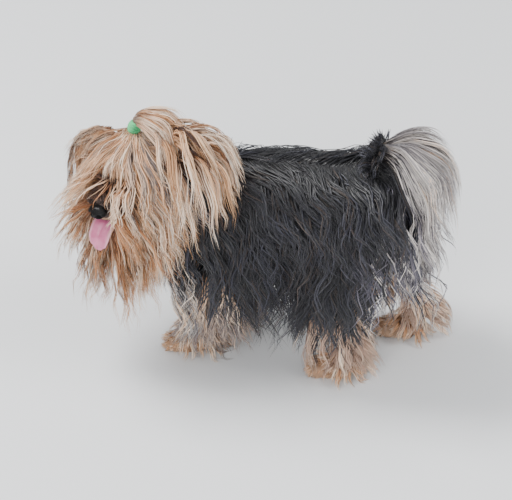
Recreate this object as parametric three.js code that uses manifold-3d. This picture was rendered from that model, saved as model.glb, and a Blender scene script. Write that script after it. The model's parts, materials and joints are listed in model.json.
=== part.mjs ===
// A Yorkshire terrier in full coat, life size, standing in mid step with its head turned to its left.
// Millimetres, +Z up. The dog faces -Y, its left side is +X, and the soles stand at Z = 0.
// Every node is a closed solid: a core of flesh, with the long coat as flat tapered locks rooted in it.

import * as THREE from "three";
import { ConvexGeometry } from "three/addons/geometries/ConvexGeometry.js";
import { mergeVertices } from "three/addons/utils/BufferGeometryUtils.js";
import Module from "manifold-3d";

const wasm = await Module();
wasm.setup();

// Driving dimensions
const WITHERS = 216; // height of the shoulder over the floor, without the coat
const CHEST_HALF = 44; // half width of the rib cage
const SKULL_HALF = 30; // half width of the skull
const MUZZLE = 31; // from the stop to the nose
const EAR_LENGTH = 36;
const EYE_RADIUS = 7.6;
const PAW_LENGTH = 35;
const PAW_HALF = 12.5;
const GAP = 0.3; // clearance between nodes that touch
const SINK = 6; // how deep a lock is rooted
const LOCK_THICK = 4.2;
const FLOOR_CLEAR = 2.5; // the lowest that a lock may hang

// Pose
const HEAD_YAW = 65; // degrees the head is turned to the dog's left
const HEAD_PITCH = 3; // degrees the nose points down
const JAW_OPEN = 17; // degrees

const vec = (x, y, z) => new THREE.Vector3(x, y, z);
const UP = vec(0, 0, 1);
const DOWN = vec(0, 0, -1);
const radians = THREE.MathUtils.degToRad;
const mix = THREE.MathUtils.lerp;

// A repeatable random number from 0 to 1
let seedState = 7;
function draw() {
  seedState = (seedState * 1664525 + 1013904223) % 4294967296;
  return seedState / 4294967296;
}
const spread = (amount) => (draw() * 2 - 1) * amount;

// The head's own axes: forward to the nose, left to the dog's left ear, and up
function headAxes() {
  const yaw = radians(HEAD_YAW);
  const pitch = radians(HEAD_PITCH);
  const forward = vec(
    Math.sin(yaw) * Math.cos(pitch),
    -Math.cos(yaw) * Math.cos(pitch),
    -Math.sin(pitch),
  );
  const left = vec(Math.cos(yaw), Math.sin(yaw), 0);
  const up = forward.clone().cross(left).negate();
  if (up.z < 0) up.negate();
  return { forward, left, up };
}
const head = headAxes();
const SKULL = vec(22, -109, WITHERS - 3);
const onHead = (forward, left, up) =>
  SKULL.clone()
    .addScaledVector(head.forward, forward)
    .addScaledVector(head.left, left)
    .addScaledVector(head.up, up);

// A form is a chain of oval sections: centre, half width across, and half height
function form(stations, hint = UP) {
  const points = stations.map((s) => s[0]);
  const curve = new THREE.CatmullRomCurve3(points, false, "centripetal");
  return { stations, points, hint, curve };
}

function radiiAt(shape, t) {
  const last = shape.stations.length - 1;
  const place = Math.min(Math.max(t, 0), 1) * last;
  const i = Math.min(Math.floor(place), last - 1);
  const share = THREE.MathUtils.smoothstep(place - i, 0, 1);
  const a = shape.stations[i];
  const b = shape.stations[i + 1];
  return [mix(a[1], b[1], share), mix(a[2], b[2], share)];
}

function sectionAt(shape, t) {
  const centre = shape.curve.getPoint(Math.min(Math.max(t, 0), 1));
  const along = shape.curve.getTangent(Math.min(Math.max(t, 0.001), 0.999));
  const side = shape.hint.clone().cross(along).normalize();
  const top = along.clone().cross(side).normalize();
  const [width, height] = radiiAt(shape, t);
  return { centre, along, side, top, width, height };
}

// A point on a form's surface, with its outward normal; turn 0 is the top and 90 the dog's left
function skinPoint(shape, t, turn) {
  const s = sectionAt(shape, t);
  const lateral = s.side.x < 0 ? -1 : 1;
  const across = Math.sin(radians(turn)) * lateral;
  const upward = Math.cos(radians(turn));
  const point = s.centre
    .clone()
    .addScaledVector(s.side, across * s.width)
    .addScaledVector(s.top, upward * s.height);
  const normal = s.side
    .clone()
    .multiplyScalar(across / s.width)
    .addScaledVector(s.top, upward / s.height)
    .normalize();
  return { point, normal, along: s.along };
}

// A point on the rounded end of a form, tilted by some degrees from the rim toward the tip
function endPoint(shape, atEnd, turn, tilt) {
  const rim = skinPoint(shape, atEnd, turn);
  const s = sectionAt(shape, atEnd);
  const away = s.along.clone().multiplyScalar(atEnd > 0.5 ? 1 : -1);
  const reach = Math.min(s.width, s.height) * 0.9;
  const point = s.centre
    .clone()
    .lerp(rim.point, Math.cos(radians(tilt)))
    .addScaledVector(away, reach * Math.sin(radians(tilt)));
  const normal = rim.normal
    .clone()
    .multiplyScalar(Math.cos(radians(tilt)))
    .addScaledVector(away, Math.sin(radians(tilt)));
  return { point, normal };
}

const leftRight = [1, -1];
const sideName = (side) => (side > 0 ? "left" : "right");

// Torso, from breastbone to buttocks
const BACK = WITHERS;
const torsoForm = form([
  [vec(0, -66, BACK - 76), 24, 26],
  [vec(0, -46, BACK - 62), CHEST_HALF * 0.88, 47],
  [vec(0, -8, BACK - 52), CHEST_HALF, 54],
  [vec(0, 42, BACK - 46), CHEST_HALF * 0.98, 49],
  [vec(0, 82, BACK - 41), CHEST_HALF * 0.92, 44],
  [vec(0, 110, BACK - 42), CHEST_HALF * 0.94, 44],
  [vec(0, 134, BACK - 52), CHEST_HALF * 0.62, 28],
]);
const neckForm = form([
  [vec(0, -34, BACK - 36), 33, 36],
  [vec(6, -64, BACK - 20), 29, 33],
  [vec(16, -96, BACK - 6), 26, 28],
]);
const tailForm = form(
  [
    [vec(0, 114, BACK - 20), 12, 12],
    [vec(0, 113, BACK + 4), 10, 10],
    [vec(0, 119, BACK + 24), 7, 7],
  ],
  vec(1, 0, 0),
);

// Head: skull, muzzle and lower jaw
const NOSE_AHEAD = 28 + MUZZLE;
const skullForm = form(
  [
    [onHead(-24, 0, -2), 22, 20],
    [onHead(-6, 0, 0), SKULL_HALF, 28],
    [onHead(14, 0, -1), SKULL_HALF * 0.92, 26],
    [onHead(26, 0, -6), 20, 18],
  ],
  head.up,
);
const muzzleForm = form(
  [
    [onHead(18, 0, -12), 20, 16],
    [onHead(34, 0, -15), 15, 12],
    [onHead(NOSE_AHEAD - 9, 0, -17), 12.5, 10.5],
  ],
  head.up,
);
const jawDrop = (ahead) => -22 - Math.tan(radians(JAW_OPEN)) * ahead * 0.75;
const jawForm = form(
  [
    [onHead(4, 0, -20), 20, 10],
    [onHead(26, 0, jawDrop(22)), 13, 6.5],
    [onHead(NOSE_AHEAD - 15, 0, jawDrop(42)), 9, 4.6],
  ],
  head.up,
);

// Legs: [side, where the paw stands, and how the leg bends to it]
const legPlans = {
  front_left: { side: 1, paw: vec(22, -65, 0), fore: true },
  front_right: { side: -1, paw: vec(-25, -40, 0), fore: true },
  hind_left: { side: 1, paw: vec(41, 77, 0), fore: false },
  hind_right: { side: -1, paw: vec(-28, 137, 0), fore: false },
};

function legForm(plan) {
  const { side, paw } = plan;
  if (plan.fore) {
    return form(
      [
        [vec(side * 28, -38, BACK - 58), 17, 27],
        [vec(side * 34, -26, 112), 14, 19],
        [vec(mix(side * 34, paw.x, 0.4), mix(-22, paw.y + 8, 0.45), 76), 11, 12],
        [vec(paw.x, paw.y + 10, 40), 10, 10],
        [vec(paw.x, paw.y + 6, 22), 11, 11],
      ],
      vec(0, -1, 0),
    );
  }
  const kneeY = mix(74, paw.y - 20, 0.35);
  const hockY = paw.y + 22;
  return form(
    [
      [vec(side * 28, 112, BACK - 52), 19, 38],
      [vec(side * 36, mix(96, kneeY, 0.5), 124), 18, 30],
      [vec(mix(side * 38, paw.x, 0.5), kneeY, 96), 15, 17],
      [vec(paw.x, mix(kneeY, hockY, 0.8), 62), 10, 12],
      [vec(paw.x, hockY, 44), 9, 10],
      [vec(paw.x, paw.y + 12, 20), 11, 11],
    ],
    vec(0, -1, 0),
  );
}
const legForms = {};
for (const name of Object.keys(legPlans)) legForms[name] = legForm(legPlans[name]);

// The flesh, with the node that each form is in and the depth of the coat that lies on it there
const flesh = [
  [torsoForm, "torso", 9],
  [neckForm, "neck", 9],
  [tailForm, "tail", 5],
  [skullForm, "head", 9],
  [muzzleForm, "head", 4],
  [jawForm, "head", 4],
  ...Object.entries(legForms).map(([name, shape]) => [shape, `leg_${name}`, 7]),
];

// The tie stands over the skull, leaning back, and gathers the forehead hair
const TIE = onHead(-2, 1, 42);
const TIE_TURNS = 3;
const TIE_CORD = 1.8; // radius of the elastic
const TIE_HOLE = 3; // radius of the hair that it holds
const tieLean = head.up.clone().addScaledVector(head.left, 0.35).addScaledVector(head.forward, -0.3);
tieLean.normalize();
const alongTie = (distance) => TIE.clone().addScaledVector(tieLean, distance);

// How far a point is outside the flesh, and the coat of other nodes, and which way leads out
function outside(point, node) {
  let nearest = Infinity;
  let way = UP.clone();
  for (const [shape, owner, coatDepth] of flesh) {
    const covered = owner === node ? 0 : coatDepth;
    for (let i = 0; i + 1 < shape.points.length; i++) {
      const [a, b] = [shape.points[i], shape.points[i + 1]];
      const axis = b.clone().sub(a);
      const reach = point.clone().sub(a).dot(axis) / axis.lengthSq();
      const share = Math.min(Math.max(reach, 0), 1);
      const from = point.clone().sub(a.clone().addScaledVector(axis, share));
      axis.normalize();
      const side = shape.hint.clone().cross(axis).normalize();
      const top = axis.clone().cross(side);
      const width = mix(shape.stations[i][1], shape.stations[i + 1][1], share);
      const height = mix(shape.stations[i][2], shape.stations[i + 1][2], share);
      const end = Math.min(width, height);
      const [p, q, r] = [from.dot(side), from.dot(top), from.dot(axis)];
      const ratio = Math.hypot(p / width, q / height, r / end) || 1e-6;
      const distance = from.length() * (1 - 1 / ratio) - covered;
      if (distance < nearest) {
        nearest = distance;
        way = side
          .multiplyScalar(p / width ** 2)
          .addScaledVector(top, q / height ** 2)
          .addScaledVector(axis, r / end ** 2)
          .normalize();
      }
    }
  }
  return { distance: nearest, way };
}

// A lock leaves its root along a lie, gives way to its own weight, and rests on the body
const LOCK = {
  length: 70,
  width: 24,
  thick: LOCK_THICK,
  rows: 5, // points along it, with the root and the tip
  lift: 0.35, // how steeply it leaves the skin
  droop: 0.35, // how fast it turns down
  rest: 6, // how far over the skin it lies
  wave: 2.5, // how far it swings from side to side
  sink: SINK,
};
const MAX_BEND = radians(48); // between one stretch of a lock and the next
function lockPath(node, root, normal, lie, options) {
  const { length, rows, lift, droop, rest, wave, sink } = options;
  const points = [root.clone().addScaledVector(normal, -sink)];
  const outs = [normal.clone()];
  const place = root.clone().addScaledVector(normal, rest * 0.3);
  let heading = lie.clone().normalize().addScaledVector(normal, lift).normalize();
  const across = heading.clone().cross(normal).normalize();
  const step = length / (rows - 1.6);
  const phase = draw() * Math.PI * 2;
  let way = heading.clone();
  for (let i = 1; i < rows; i++) {
    heading.addScaledVector(DOWN, droop).normalize();
    const from = place.clone();
    const stretch = i === 1 ? step * 0.4 : step;
    place.addScaledVector(heading, stretch);
    const near = outside(place, node);
    const clear = rest * Math.min(1, (i + 0.4) / 2);
    if (near.distance < clear) place.addScaledVector(near.way, clear - near.distance);
    const ahead = place.clone().sub(from);
    const moved = Math.max(ahead.length(), stretch * 0.8);
    ahead.normalize();
    const bend = ahead.angleTo(way);
    if (bend > MAX_BEND) ahead.lerp(way, 1 - MAX_BEND / bend).normalize();
    place.copy(from).addScaledVector(ahead, moved);
    way = ahead;
    const low = FLOOR_CLEAR + (i < rows - 1 ? options.thick * 0.6 : 0);
    place.z = Math.max(place.z, low);
    const swing = wave * Math.sin(phase + i * 2.2) * Math.min(1, i / 3);
    points.push(place.clone().addScaledVector(across, swing));
    const outward = near.distance < rest * 3 ? near.way : outs[i - 1];
    outs.push(outs[i - 1].clone().lerp(outward, 0.7).normalize());
    if (i > 1) heading = place.clone().sub(points[i - 1]).addScaledVector(across, swing).normalize();
  }
  return { points, outs };
}

// The way along a lock, across it and out of it at each row, turning little from row to row
const MAX_TWIST = radians(22); // from one row to the next
function lockFrames({ points, outs }) {
  const frames = [];
  points.forEach((point, i) => {
    const after = points[Math.min(i + 1, points.length - 1)];
    const before = points[Math.max(i - 1, 0)];
    const along = after.clone().sub(before).normalize();
    const flat = along.clone().cross(outs[i]).normalize();
    if (i > 0) {
      const carried = frames[i - 1].flat.clone();
      carried.addScaledVector(along, -carried.dot(along)).normalize();
      if (flat.dot(carried) < 0) flat.negate();
      const twist = flat.angleTo(carried);
      if (twist > MAX_TWIST) flat.lerp(carried, 1 - MAX_TWIST / twist).normalize();
    }
    frames.push({ along, flat, out: flat.clone().cross(along).normalize() });
  });
  return frames;
}

// A flat lock with a ridge along it, tapering to its tip: one convex piece from each row to the next.
// Its long edges are sharp, so they grow the most for the same clearance all round.
const EDGE_GROWTH = 7;
const LOCK_CORNERS = [0, 120, 240].map((turn) => [Math.sin(radians(turn)), Math.cos(radians(turn))]);
function lockPieces(lock, grow) {
  const { points, width, thick } = lock;
  const lastRow = points.length - 1;
  const rings = lockFrames(lock).map(({ along, flat, out }, i) => {
    const centre = points[i].clone();
    if (i === lastRow) return [centre.addScaledVector(along, grow * 4)];
    if (i === 0) centre.addScaledVector(along, -grow);
    const t = i / lastRow;
    const taper = Math.pow(Math.sin(Math.PI * (0.08 + 0.92 * t)), 0.4);
    const half = (width / 2) * taper + grow * EDGE_GROWTH;
    const deep = thick * (1 - 0.45 * t) + grow * 2;
    return LOCK_CORNERS.map(([x, z]) =>
      centre
        .clone()
        .addScaledVector(flat, x * half)
        .addScaledVector(out, z * deep),
    );
  });
  return rings.slice(1).map((ring, i) => new ConvexGeometry([...rings[i], ...ring]));
}

// The locks of each node, as paths with their sizes
const locks = {};
function addLock(node, root, normal, lie, sizes = {}) {
  const options = { ...LOCK, ...sizes };
  options.length *= 1 + spread(0.1);
  options.width *= 1 + spread(0.12);
  const path = lockPath(node, root, normal, lie, options);
  locks[node] ??= [];
  locks[node].push({ ...path, width: options.width, thick: options.thick });
}
const vary = (lie, amount) => lie.clone().normalize().add(vec(spread(amount), spread(amount), spread(amount)));

// A row of locks along a form at one turn round it
function lockRow(node, shape, { from, to, count, turn, lie, stagger = 0, ...sizes }) {
  for (let i = 0; i < count; i++) {
    const share = count === 1 ? 0.5 : (i + stagger) / (count - 1 + stagger);
    const t = mix(from, to, share) + spread(0.01);
    const spot = skinPoint(shape, t, turn + spread(3));
    addLock(node, spot.point, spot.normal, vary(lie, 0.08), sizes);
  }
}

// A form as a closed surface: rows of a sphere moved onto the sections, with rounded ends
function formGeometry(shape, grow = 0, sides = 14, between = 2) {
  const rows = [];
  const spans = (shape.stations.length - 1) * between;
  const [first, last] = [sectionAt(shape, 0), sectionAt(shape, 1)];
  const roundEnd = (section, outward, share) => {
    const reach = Math.min(section.width, section.height) * 0.9 + grow;
    const angle = (share * Math.PI) / 2;
    const centre = section.centre
      .clone()
      .addScaledVector(section.along, outward * reach * Math.sin(angle));
    rows.push({ ...section, centre, scale: Math.cos(angle) });
  };
  roundEnd(first, -1, 1);
  roundEnd(first, -1, 0.5);
  for (let i = 0; i <= spans; i++) rows.push({ ...sectionAt(shape, i / spans), scale: 1 });
  roundEnd(last, 1, 0.5);
  roundEnd(last, 1, 1);
  const geometry = new THREE.SphereGeometry(1, sides, rows.length - 1);
  const position = geometry.getAttribute("position");
  for (let v = 0; v < position.count; v++) {
    const row = rows[Math.floor(v / (sides + 1))];
    const turn = ((v % (sides + 1)) / sides) * Math.PI * 2;
    const scale = row.scale < 1e-6 ? 0 : row.scale;
    const place = row.centre
      .clone()
      .addScaledVector(row.side, -Math.cos(turn) * (row.width + grow) * scale)
      .addScaledVector(row.top, Math.sin(turn) * (row.height + grow) * scale);
    position.setXYZ(v, place.x, place.y, place.z);
  }
  return geometry;
}

// An ellipsoid with its half sizes along three given axes
function ovalGeometry(centre, axes, halves, grow = 0, sides = 12) {
  const geometry = new THREE.SphereGeometry(1, sides, Math.round(sides * 0.6));
  const turn = new THREE.Matrix4().makeBasis(...axes);
  const [a, b, c] = halves.map((half) => half + grow);
  geometry.scale(a, b, c);
  geometry.applyMatrix4(turn.setPosition(centre));
  return geometry;
}
const headBasis = [head.forward, head.left, head.up];
const plainBasis = [vec(1, 0, 0), vec(0, 1, 0), UP];

// A round cord of flesh along an open path, for lips
function ridgeGeometry(points, radius, grow = 0, sides = 3) {
  const curve = new THREE.CatmullRomCurve3(points);
  const outline = new THREE.Shape();
  outline.absarc(0, 0, radius + grow, 0, Math.PI * 2);
  return new THREE.ExtrudeGeometry(outline, {
    extrudePath: curve,
    steps: points.length,
    curveSegments: sides,
    bevelEnabled: false,
  });
}

// Solids and back
const SLIVER = 0.1; // edges shorter than this are closed up
function asManifold(positions, triangles) {
  const mesh = { numProp: 3, vertProperties: positions, triVerts: triangles, tolerance: SLIVER };
  return new wasm.Manifold(new wasm.Mesh(mesh));
}
function toSolid(geometry) {
  const bare = geometry.index ? geometry.toNonIndexed() : geometry;
  bare.deleteAttribute("normal");
  bare.deleteAttribute("uv");
  const merged = mergeVertices(bare, 1e-4);
  const positions = merged.getAttribute("position").array;
  const triangles = new Uint32Array(merged.index.array);
  const solid = asManifold(positions, triangles);
  return solid.volume() > 0 ? solid : asManifold(positions, triangles.reverse());
}

const joined = (geometries) => wasm.Manifold.union(geometries.map(toSolid));

function largest(solid) {
  const bodies = solid.decompose();
  return bodies.reduce((best, body) => (body.volume() > best.volume() ? body : best));
}

// The largest body, with points that nearly meet made one
const MEETING = 0.004;
function settled(solid) {
  let body = largest(solid);
  for (let round = 0; round < 2; round++) {
    const merged = mergeVertices(toGeometry(body), MEETING);
    const positions = merged.getAttribute("position").array;
    body = largest(asManifold(positions, new Uint32Array(merged.index.array)));
  }
  return body;
}

function toGeometry(solid) {
  const { vertProperties, triVerts } = solid.getMesh();
  const geometry = new THREE.BufferGeometry();
  geometry.setAttribute("position", new THREE.BufferAttribute(vertProperties, 3));
  geometry.setIndex(new THREE.BufferAttribute(triVerts, 1));
  return geometry;
}

// The coat hangs in tiers from the parting along the spine, down both sides
const BACKWARD = vec(0, 1, 0);
for (const side of leftRight) {
  const sideways = (across, back, down) => vec(side * across, back, -down);
  const torsoRow = (turn, stagger, lie, sizes) =>
    lockRow("torso", torsoForm, {
      from: 0.14,
      to: 0.86,
      count: 7,
      turn: side * turn,
      stagger,
      lie,
      ...sizes,
    });
  torsoRow(98, 0, sideways(0.1, 0.25, 1), { length: 84, width: 27, rest: 2.5 });
  torsoRow(56, 0.5, sideways(0.5, 0.45, 0.7), { length: 96, width: 28, rest: 4.5 });
  torsoRow(9, 0, sideways(0.75, 0.8, 0), { length: 92, width: 29, rest: 5, lift: 0.15 });

  // Breast and buttocks
  for (const [turn, tilt] of [[72, 12], [118, 12], [58, 46]]) {
    const breast = endPoint(torsoForm, 0, side * turn, tilt);
    addLock("torso", breast.point, breast.normal, vary(sideways(0.15, -0.1, 1), 0.1), {
      length: 62,
      width: 27,
      rest: 5,
    });
    const buttock = endPoint(torsoForm, 1, side * turn, tilt);
    addLock("torso", buttock.point, buttock.normal, vary(sideways(0.2, 0, 1), 0.1), {
      length: 62,
      width: 27,
      rest: 4,
    });
  }
}

// Neck and ruff
for (const [t, turns, length] of [
  [0.3, [-100, -60, -20, 20, 60, 100], 74],
  [0.78, [-112, -42, 0, 42, 112], 82],
]) {
  for (const turn of turns) {
    const spot = skinPoint(neckForm, t, turn);
    const lie = spot.normal.clone().multiplyScalar(0.25).add(vec(0, 0.55, -0.8));
    addLock("neck", spot.point, spot.normal, vary(lie, 0.1), { length, width: 25, rest: 4 });
  }
}

// Tail: a plume that rises with the tail, arches back and falls
for (const [t, turns] of [
  [0.3, [-110, 50, 120, 180]],
  [0.6, [-72, 0, 72, 144]],
  [0.95, [-120, -40, 40, 120, 180]],
]) {
  for (const turn of turns) {
    const spot = skinPoint(tailForm, t, turn);
    const lie = vec(spot.normal.x * 0.28, 0.46 + spot.normal.y * 0.2, 0.62 - t * 0.3);
    addLock("tail", spot.point, spot.normal, vary(lie, 0.1), {
      length: 70 + 18 * t,
      width: 19,
      rest: 3,
      rows: 5,
      lift: 0.25,
      droop: 0.5,
      sink: 4,
    });
  }
}

// Legs: tiers down to the feet, the lowest spreading over them
for (const [name, plan] of Object.entries(legPlans)) {
  const node = `leg_${name}`;
  const tiers = plan.fore
    ? [[0.42, 50, 18], [0.66, 46, 16], [0.88, 32, 14]]
    : [[0.36, 58, 21], [0.62, 50, 17], [0.88, 34, 14]];
  tiers.forEach(([t, length, width], tier) => {
    const around = tier === 0 ? 4 : 5;
    for (let i = 0; i < around; i++) {
      const turn = (i + (tier % 2) / 2) * (360 / around);
      const inner = Math.sin(radians(turn)) * plan.side < (tier === 0 ? -0.4 : -0.9);
      if (inner) continue;
      const spot = skinPoint(legForms[name], t, turn);
      const behind = Math.max(0, -Math.cos(radians(turn))) * (tier === 2 ? 0.3 : 1);
      const sweep = 0.1 + (plan.fore ? 0.6 : 0.2) * behind;
      const lie = spot.normal.clone().multiplyScalar(0.25).add(vec(0, sweep, -1));
      addLock(node, spot.point, spot.normal, vary(lie, 0.1), {
        length: length + (plan.fore ? 22 : 8) * behind,
        width,
        rest: 4,
        rows: 4,
        lift: 0.3,
        droop: 0.15,
        sink: 4.5,
      });
    }
  });
}

// Head: the crown, the hair drawn up to the tie, the falls over the cheeks, the moustache and the beard
const headward = (forward, left, up) =>
  vec(0, 0, 0)
    .addScaledVector(head.forward, forward)
    .addScaledVector(head.left, left)
    .addScaledVector(head.up, up);
function headLock(shape, t, turn, lie, sizes) {
  const spot = skinPoint(shape, t, turn);
  addLock("head", spot.point, spot.normal, vary(lie, 0.07), { rest: 5, width: 19, ...sizes });
}
// Each entry: form, place along it, degrees round it, and the lie forward, outward and up
const faceTiers = [
  [skullForm, 0.02, 30, [-0.8, 0.3, -0.4], { length: 60, width: 24 }],
  [skullForm, 0.04, 80, [-0.5, 0.6, -0.9], { length: 72, width: 22 }],
  [skullForm, 0.3, 112, [-0.2, 0.5, -1], { length: 92, width: 22 }],
  [skullForm, 0.46, 76, [-0.05, 0.8, -0.8], { length: 98, width: 21 }],
  [skullForm, 0.74, 104, [0.1, 0.6, -1], { length: 104, width: 20 }],
  [skullForm, 0.8, 62, [0.2, 1, -0.4], { length: 90, width: 21, droop: 0.36 }],
  [muzzleForm, 0.22, 78, [0.2, 0.9, -0.7], { length: 84, width: 22, rest: 4 }],
  [muzzleForm, 0.34, 106, [0.35, 0.25, -1], { length: 100, width: 26, rest: 3 }],
  [muzzleForm, 0.8, 92, [0.45, 0.8, -0.8], { length: 50, width: 12, rest: 2.5 }],
  [jawForm, 0.2, 104, [0.05, 0.4, -1], { length: 104, width: 29 }],
  [jawForm, 0.62, 126, [0.3, 0.25, -1], { length: 100, width: 27 }],
];
for (const side of leftRight) {
  for (const [shape, t, turn, [forward, outward, up], sizes] of faceTiers) {
    headLock(shape, t, side * turn, headward(forward, side * outward, up), {
      droop: 0.3,
      lift: 0.3,
      sink: 5,
      ...sizes,
    });
  }
  const chin = endPoint(jawForm, 1, side * 122, 30);
  addLock("head", chin.point, chin.normal, vary(headward(0.3, side * 0.2, -1), 0.07), {
    length: 84,
    width: 24,
    rest: 4,
    droop: 0.3,
  });
  for (const [t, turn] of [[0.78, 18], [0.4, 42]]) {
    const spot = skinPoint(skullForm, t, side * turn);
    const lie = alongTie(-4).sub(spot.point);
    const length = lie.length() * 0.95;
    addLock("head", spot.point, spot.normal, lie, {
      length,
      width: 15,
      rest: 3,
      lift: 0.1,
      droop: 0,
      wave: 0.5,
      sink: 4,
    });
  }
}

// Topknot: the gathered hair springs from the tie, arches over to the dog's left and falls
for (let i = 0; i < 5; i++) {
  const turn = (i / 5) * Math.PI * 2;
  const around = headward(Math.cos(turn), Math.sin(turn), 0);
  const lie = tieLean.clone().addScaledVector(around, 0.3).addScaledVector(head.left, 0.42);
  const root = alongTie(9).addScaledVector(around, 3.5);
  addLock("topknot", root, around, lie, {
    length: 64 + 14 * Math.sin(turn),
    width: 18,
    thick: 3.6,
    rows: 5,
    rest: 2,
    lift: 0.1,
    droop: 0.4,
    sink: 2.5,
    wave: 1.5,
  });
}

const coat = (node, grow) => (locks[node] ?? []).flatMap((lock) => lockPieces(lock, grow));

// Each recipe gives the pieces that a node is joined from and those cut out of it, grown by a clearance
const recipes = new Map();
const look = {
  gold: { color: 0xc9986b, roughness: 0.62 },
  cream: { color: 0xd8c3ae, roughness: 0.62 },
  steel: { color: 0x2b2a33, roughness: 0.5 },
  tan: { color: 0xb98257, roughness: 0.65 },
  leather: { color: 0x1c1a1c, roughness: 0.35 },
  tongue: { color: 0xd77f98, roughness: 0.4 },
  eye: { color: 0x24140d, roughness: 0.08 },
  claw: { color: 0x2a2422, roughness: 0.4 },
  tie: { color: 0x3ecb83, roughness: 0.5 },
};

for (const side of leftRight) {
  const centre = onHead(21, side * 17.5, 0);
  recipes.set(`eye_${sideName(side)}`, {
    look: look.eye,
    join: (grow) => [ovalGeometry(centre, headBasis, Array(3).fill(EYE_RADIUS), grow, 12)],
  });
}

const NOSE = onHead(NOSE_AHEAD, 0, -13);
recipes.set("nose", {
  look: look.leather,
  join: (grow) => [
    ovalGeometry(NOSE, headBasis, [6, 8.2, 6.6], grow, 10),
    ovalGeometry(onHead(NOSE_AHEAD - 4, 0, -8), headBasis, [6, 6.5, 4], grow, 8),
  ],
  cut: () =>
    leftRight.map((side) =>
      ovalGeometry(onHead(NOSE_AHEAD + 4.5, side * 4.6, -14), headBasis, [3.2, 1.6, 1.9], 0, 5),
    ),
});

const tongueForm = form(
  [
    [onHead(26, 0, -26), 9, 2.6],
    [onHead(42, 0, -30), 10.5, 2.4],
    [onHead(53, 0, -34), 11.5, 2.2],
    [onHead(60, 0, -42), 11, 2],
    [onHead(63, 0, -50), 8, 1.7],
  ],
  head.up,
);
recipes.set("tongue", {
  look: look.tongue,
  join: (grow) => [formGeometry(tongueForm, grow, 10, 1)],
});

function tieProfile(grow) {
  const inner = TIE_HOLE + 2 * GAP - grow;
  const pitch = TIE_CORD * 1.7;
  const half = ((TIE_TURNS - 1) * pitch) / 2;
  const points = [new THREE.Vector2(inner, -half - TIE_CORD - grow)];
  for (let turn = 0; turn < TIE_TURNS; turn++) {
    const middle = turn * pitch - half;
    const bulge = TIE_CORD * (turn === 0 || turn === TIE_TURNS - 1 ? 0.8 : 1);
    for (const angle of [-55, 0, 55]) {
      points.push(
        new THREE.Vector2(
          TIE_HOLE + 2 * GAP + TIE_CORD * 0.5 + Math.cos(radians(angle)) * bulge + grow,
          middle + Math.sin(radians(angle)) * TIE_CORD,
        ),
      );
    }
  }
  points.push(new THREE.Vector2(inner, half + TIE_CORD + grow));
  points.push(points[0].clone());
  return points;
}
recipes.set("hair_tie", {
  look: look.tie,
  join: (grow) => {
    const ring = new THREE.LatheGeometry(tieProfile(grow), 10);
    ring.applyQuaternion(new THREE.Quaternion().setFromUnitVectors(vec(0, 1, 0), tieLean));
    ring.translate(TIE.x, TIE.y, TIE.z);
    return [ring];
  },
});

const topknotForm = form(
  [
    [alongTie(1), TIE_HOLE, TIE_HOLE],
    [alongTie(7), 4.5, 4.5],
    [alongTie(14).addScaledVector(head.left, 2), 6, 6],
  ],
  head.forward,
);
recipes.set("topknot", {
  look: look.cream,
  join: (grow) => [formGeometry(topknotForm, grow, 8, 1), ...coat("topknot", grow)],
});

// Ears: cupped leaves that stand out to the side, set on the skull's corners
function earFrame(side) {
  const base = onHead(-5, side * 24, 19);
  const tilt = side > 0 ? 0.5 : -0.25;
  const length = head.left
    .clone()
    .multiplyScalar(side)
    .addScaledVector(head.up, tilt)
    .addScaledVector(head.forward, -0.15)
    .normalize();
  const face = head.forward.clone().addScaledVector(length, -head.forward.dot(length));
  face.normalize();
  const across = face.clone().cross(length).normalize();
  return { base, length, face, across };
}
function earGeometry(side, grow) {
  const ear = earFrame(side);
  const [wide, long, thick] = [4, 5, 1];
  const geometry = new THREE.BoxGeometry(1, 1, 1, wide, long, thick);
  const position = geometry.getAttribute("position");
  for (let v = 0; v < position.count; v++) {
    const across = position.getX(v) * 2;
    const t = position.getY(v) + 0.5;
    const half = (13.5 * Math.pow(1 - t, 0.55) + 1.6) * (0.88 + 0.3 * t) + grow;
    const cup = 6.5 * across * across * (1 - t * 0.8);
    const thin = position.getZ(v) * (3.4 * (1 - 0.45 * t) + 2 * grow);
    const place = ear.base
      .clone()
      .addScaledVector(ear.length, -6 + t * (EAR_LENGTH + 6) + (t > 0.5 ? grow : -grow))
      .addScaledVector(ear.across, across * half)
      .addScaledVector(ear.face, cup + thin);
    position.setXYZ(v, place.x, place.y, place.z);
  }
  return geometry;
}
for (const side of leftRight) {
  const ear = earFrame(side);
  const node = `ear_${sideName(side)}`;
  for (let i = 0; i < 4; i++) {
    const share = i / 3;
    const edge = Math.sin(share * Math.PI) * 0.35 + 0.6;
    const root = ear.base
      .clone()
      .addScaledVector(ear.length, EAR_LENGTH * edge)
      .addScaledVector(ear.across, mix(-9, 9, share) * (1.25 - edge));
    const back = ear.face.clone().negate();
    const lie = ear.length
      .clone()
      .addScaledVector(ear.across, mix(-0.8, 0.8, share))
      .addScaledVector(head.up, side > 0 ? 0.35 : 0);
    addLock(node, root, back, vary(lie, 0.1), {
      length: side > 0 ? 84 : 66,
      width: 19,
      thick: 3.2,
      rows: 5,
      rest: 2,
      lift: 0.1,
      droop: 0.7,
      sink: 1,
      wave: 2,
    });
  }
  recipes.set(node, {
    look: look.tan,
    join: (grow) => [earGeometry(side, grow), ...coat(node, grow)],
  });
}

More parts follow.
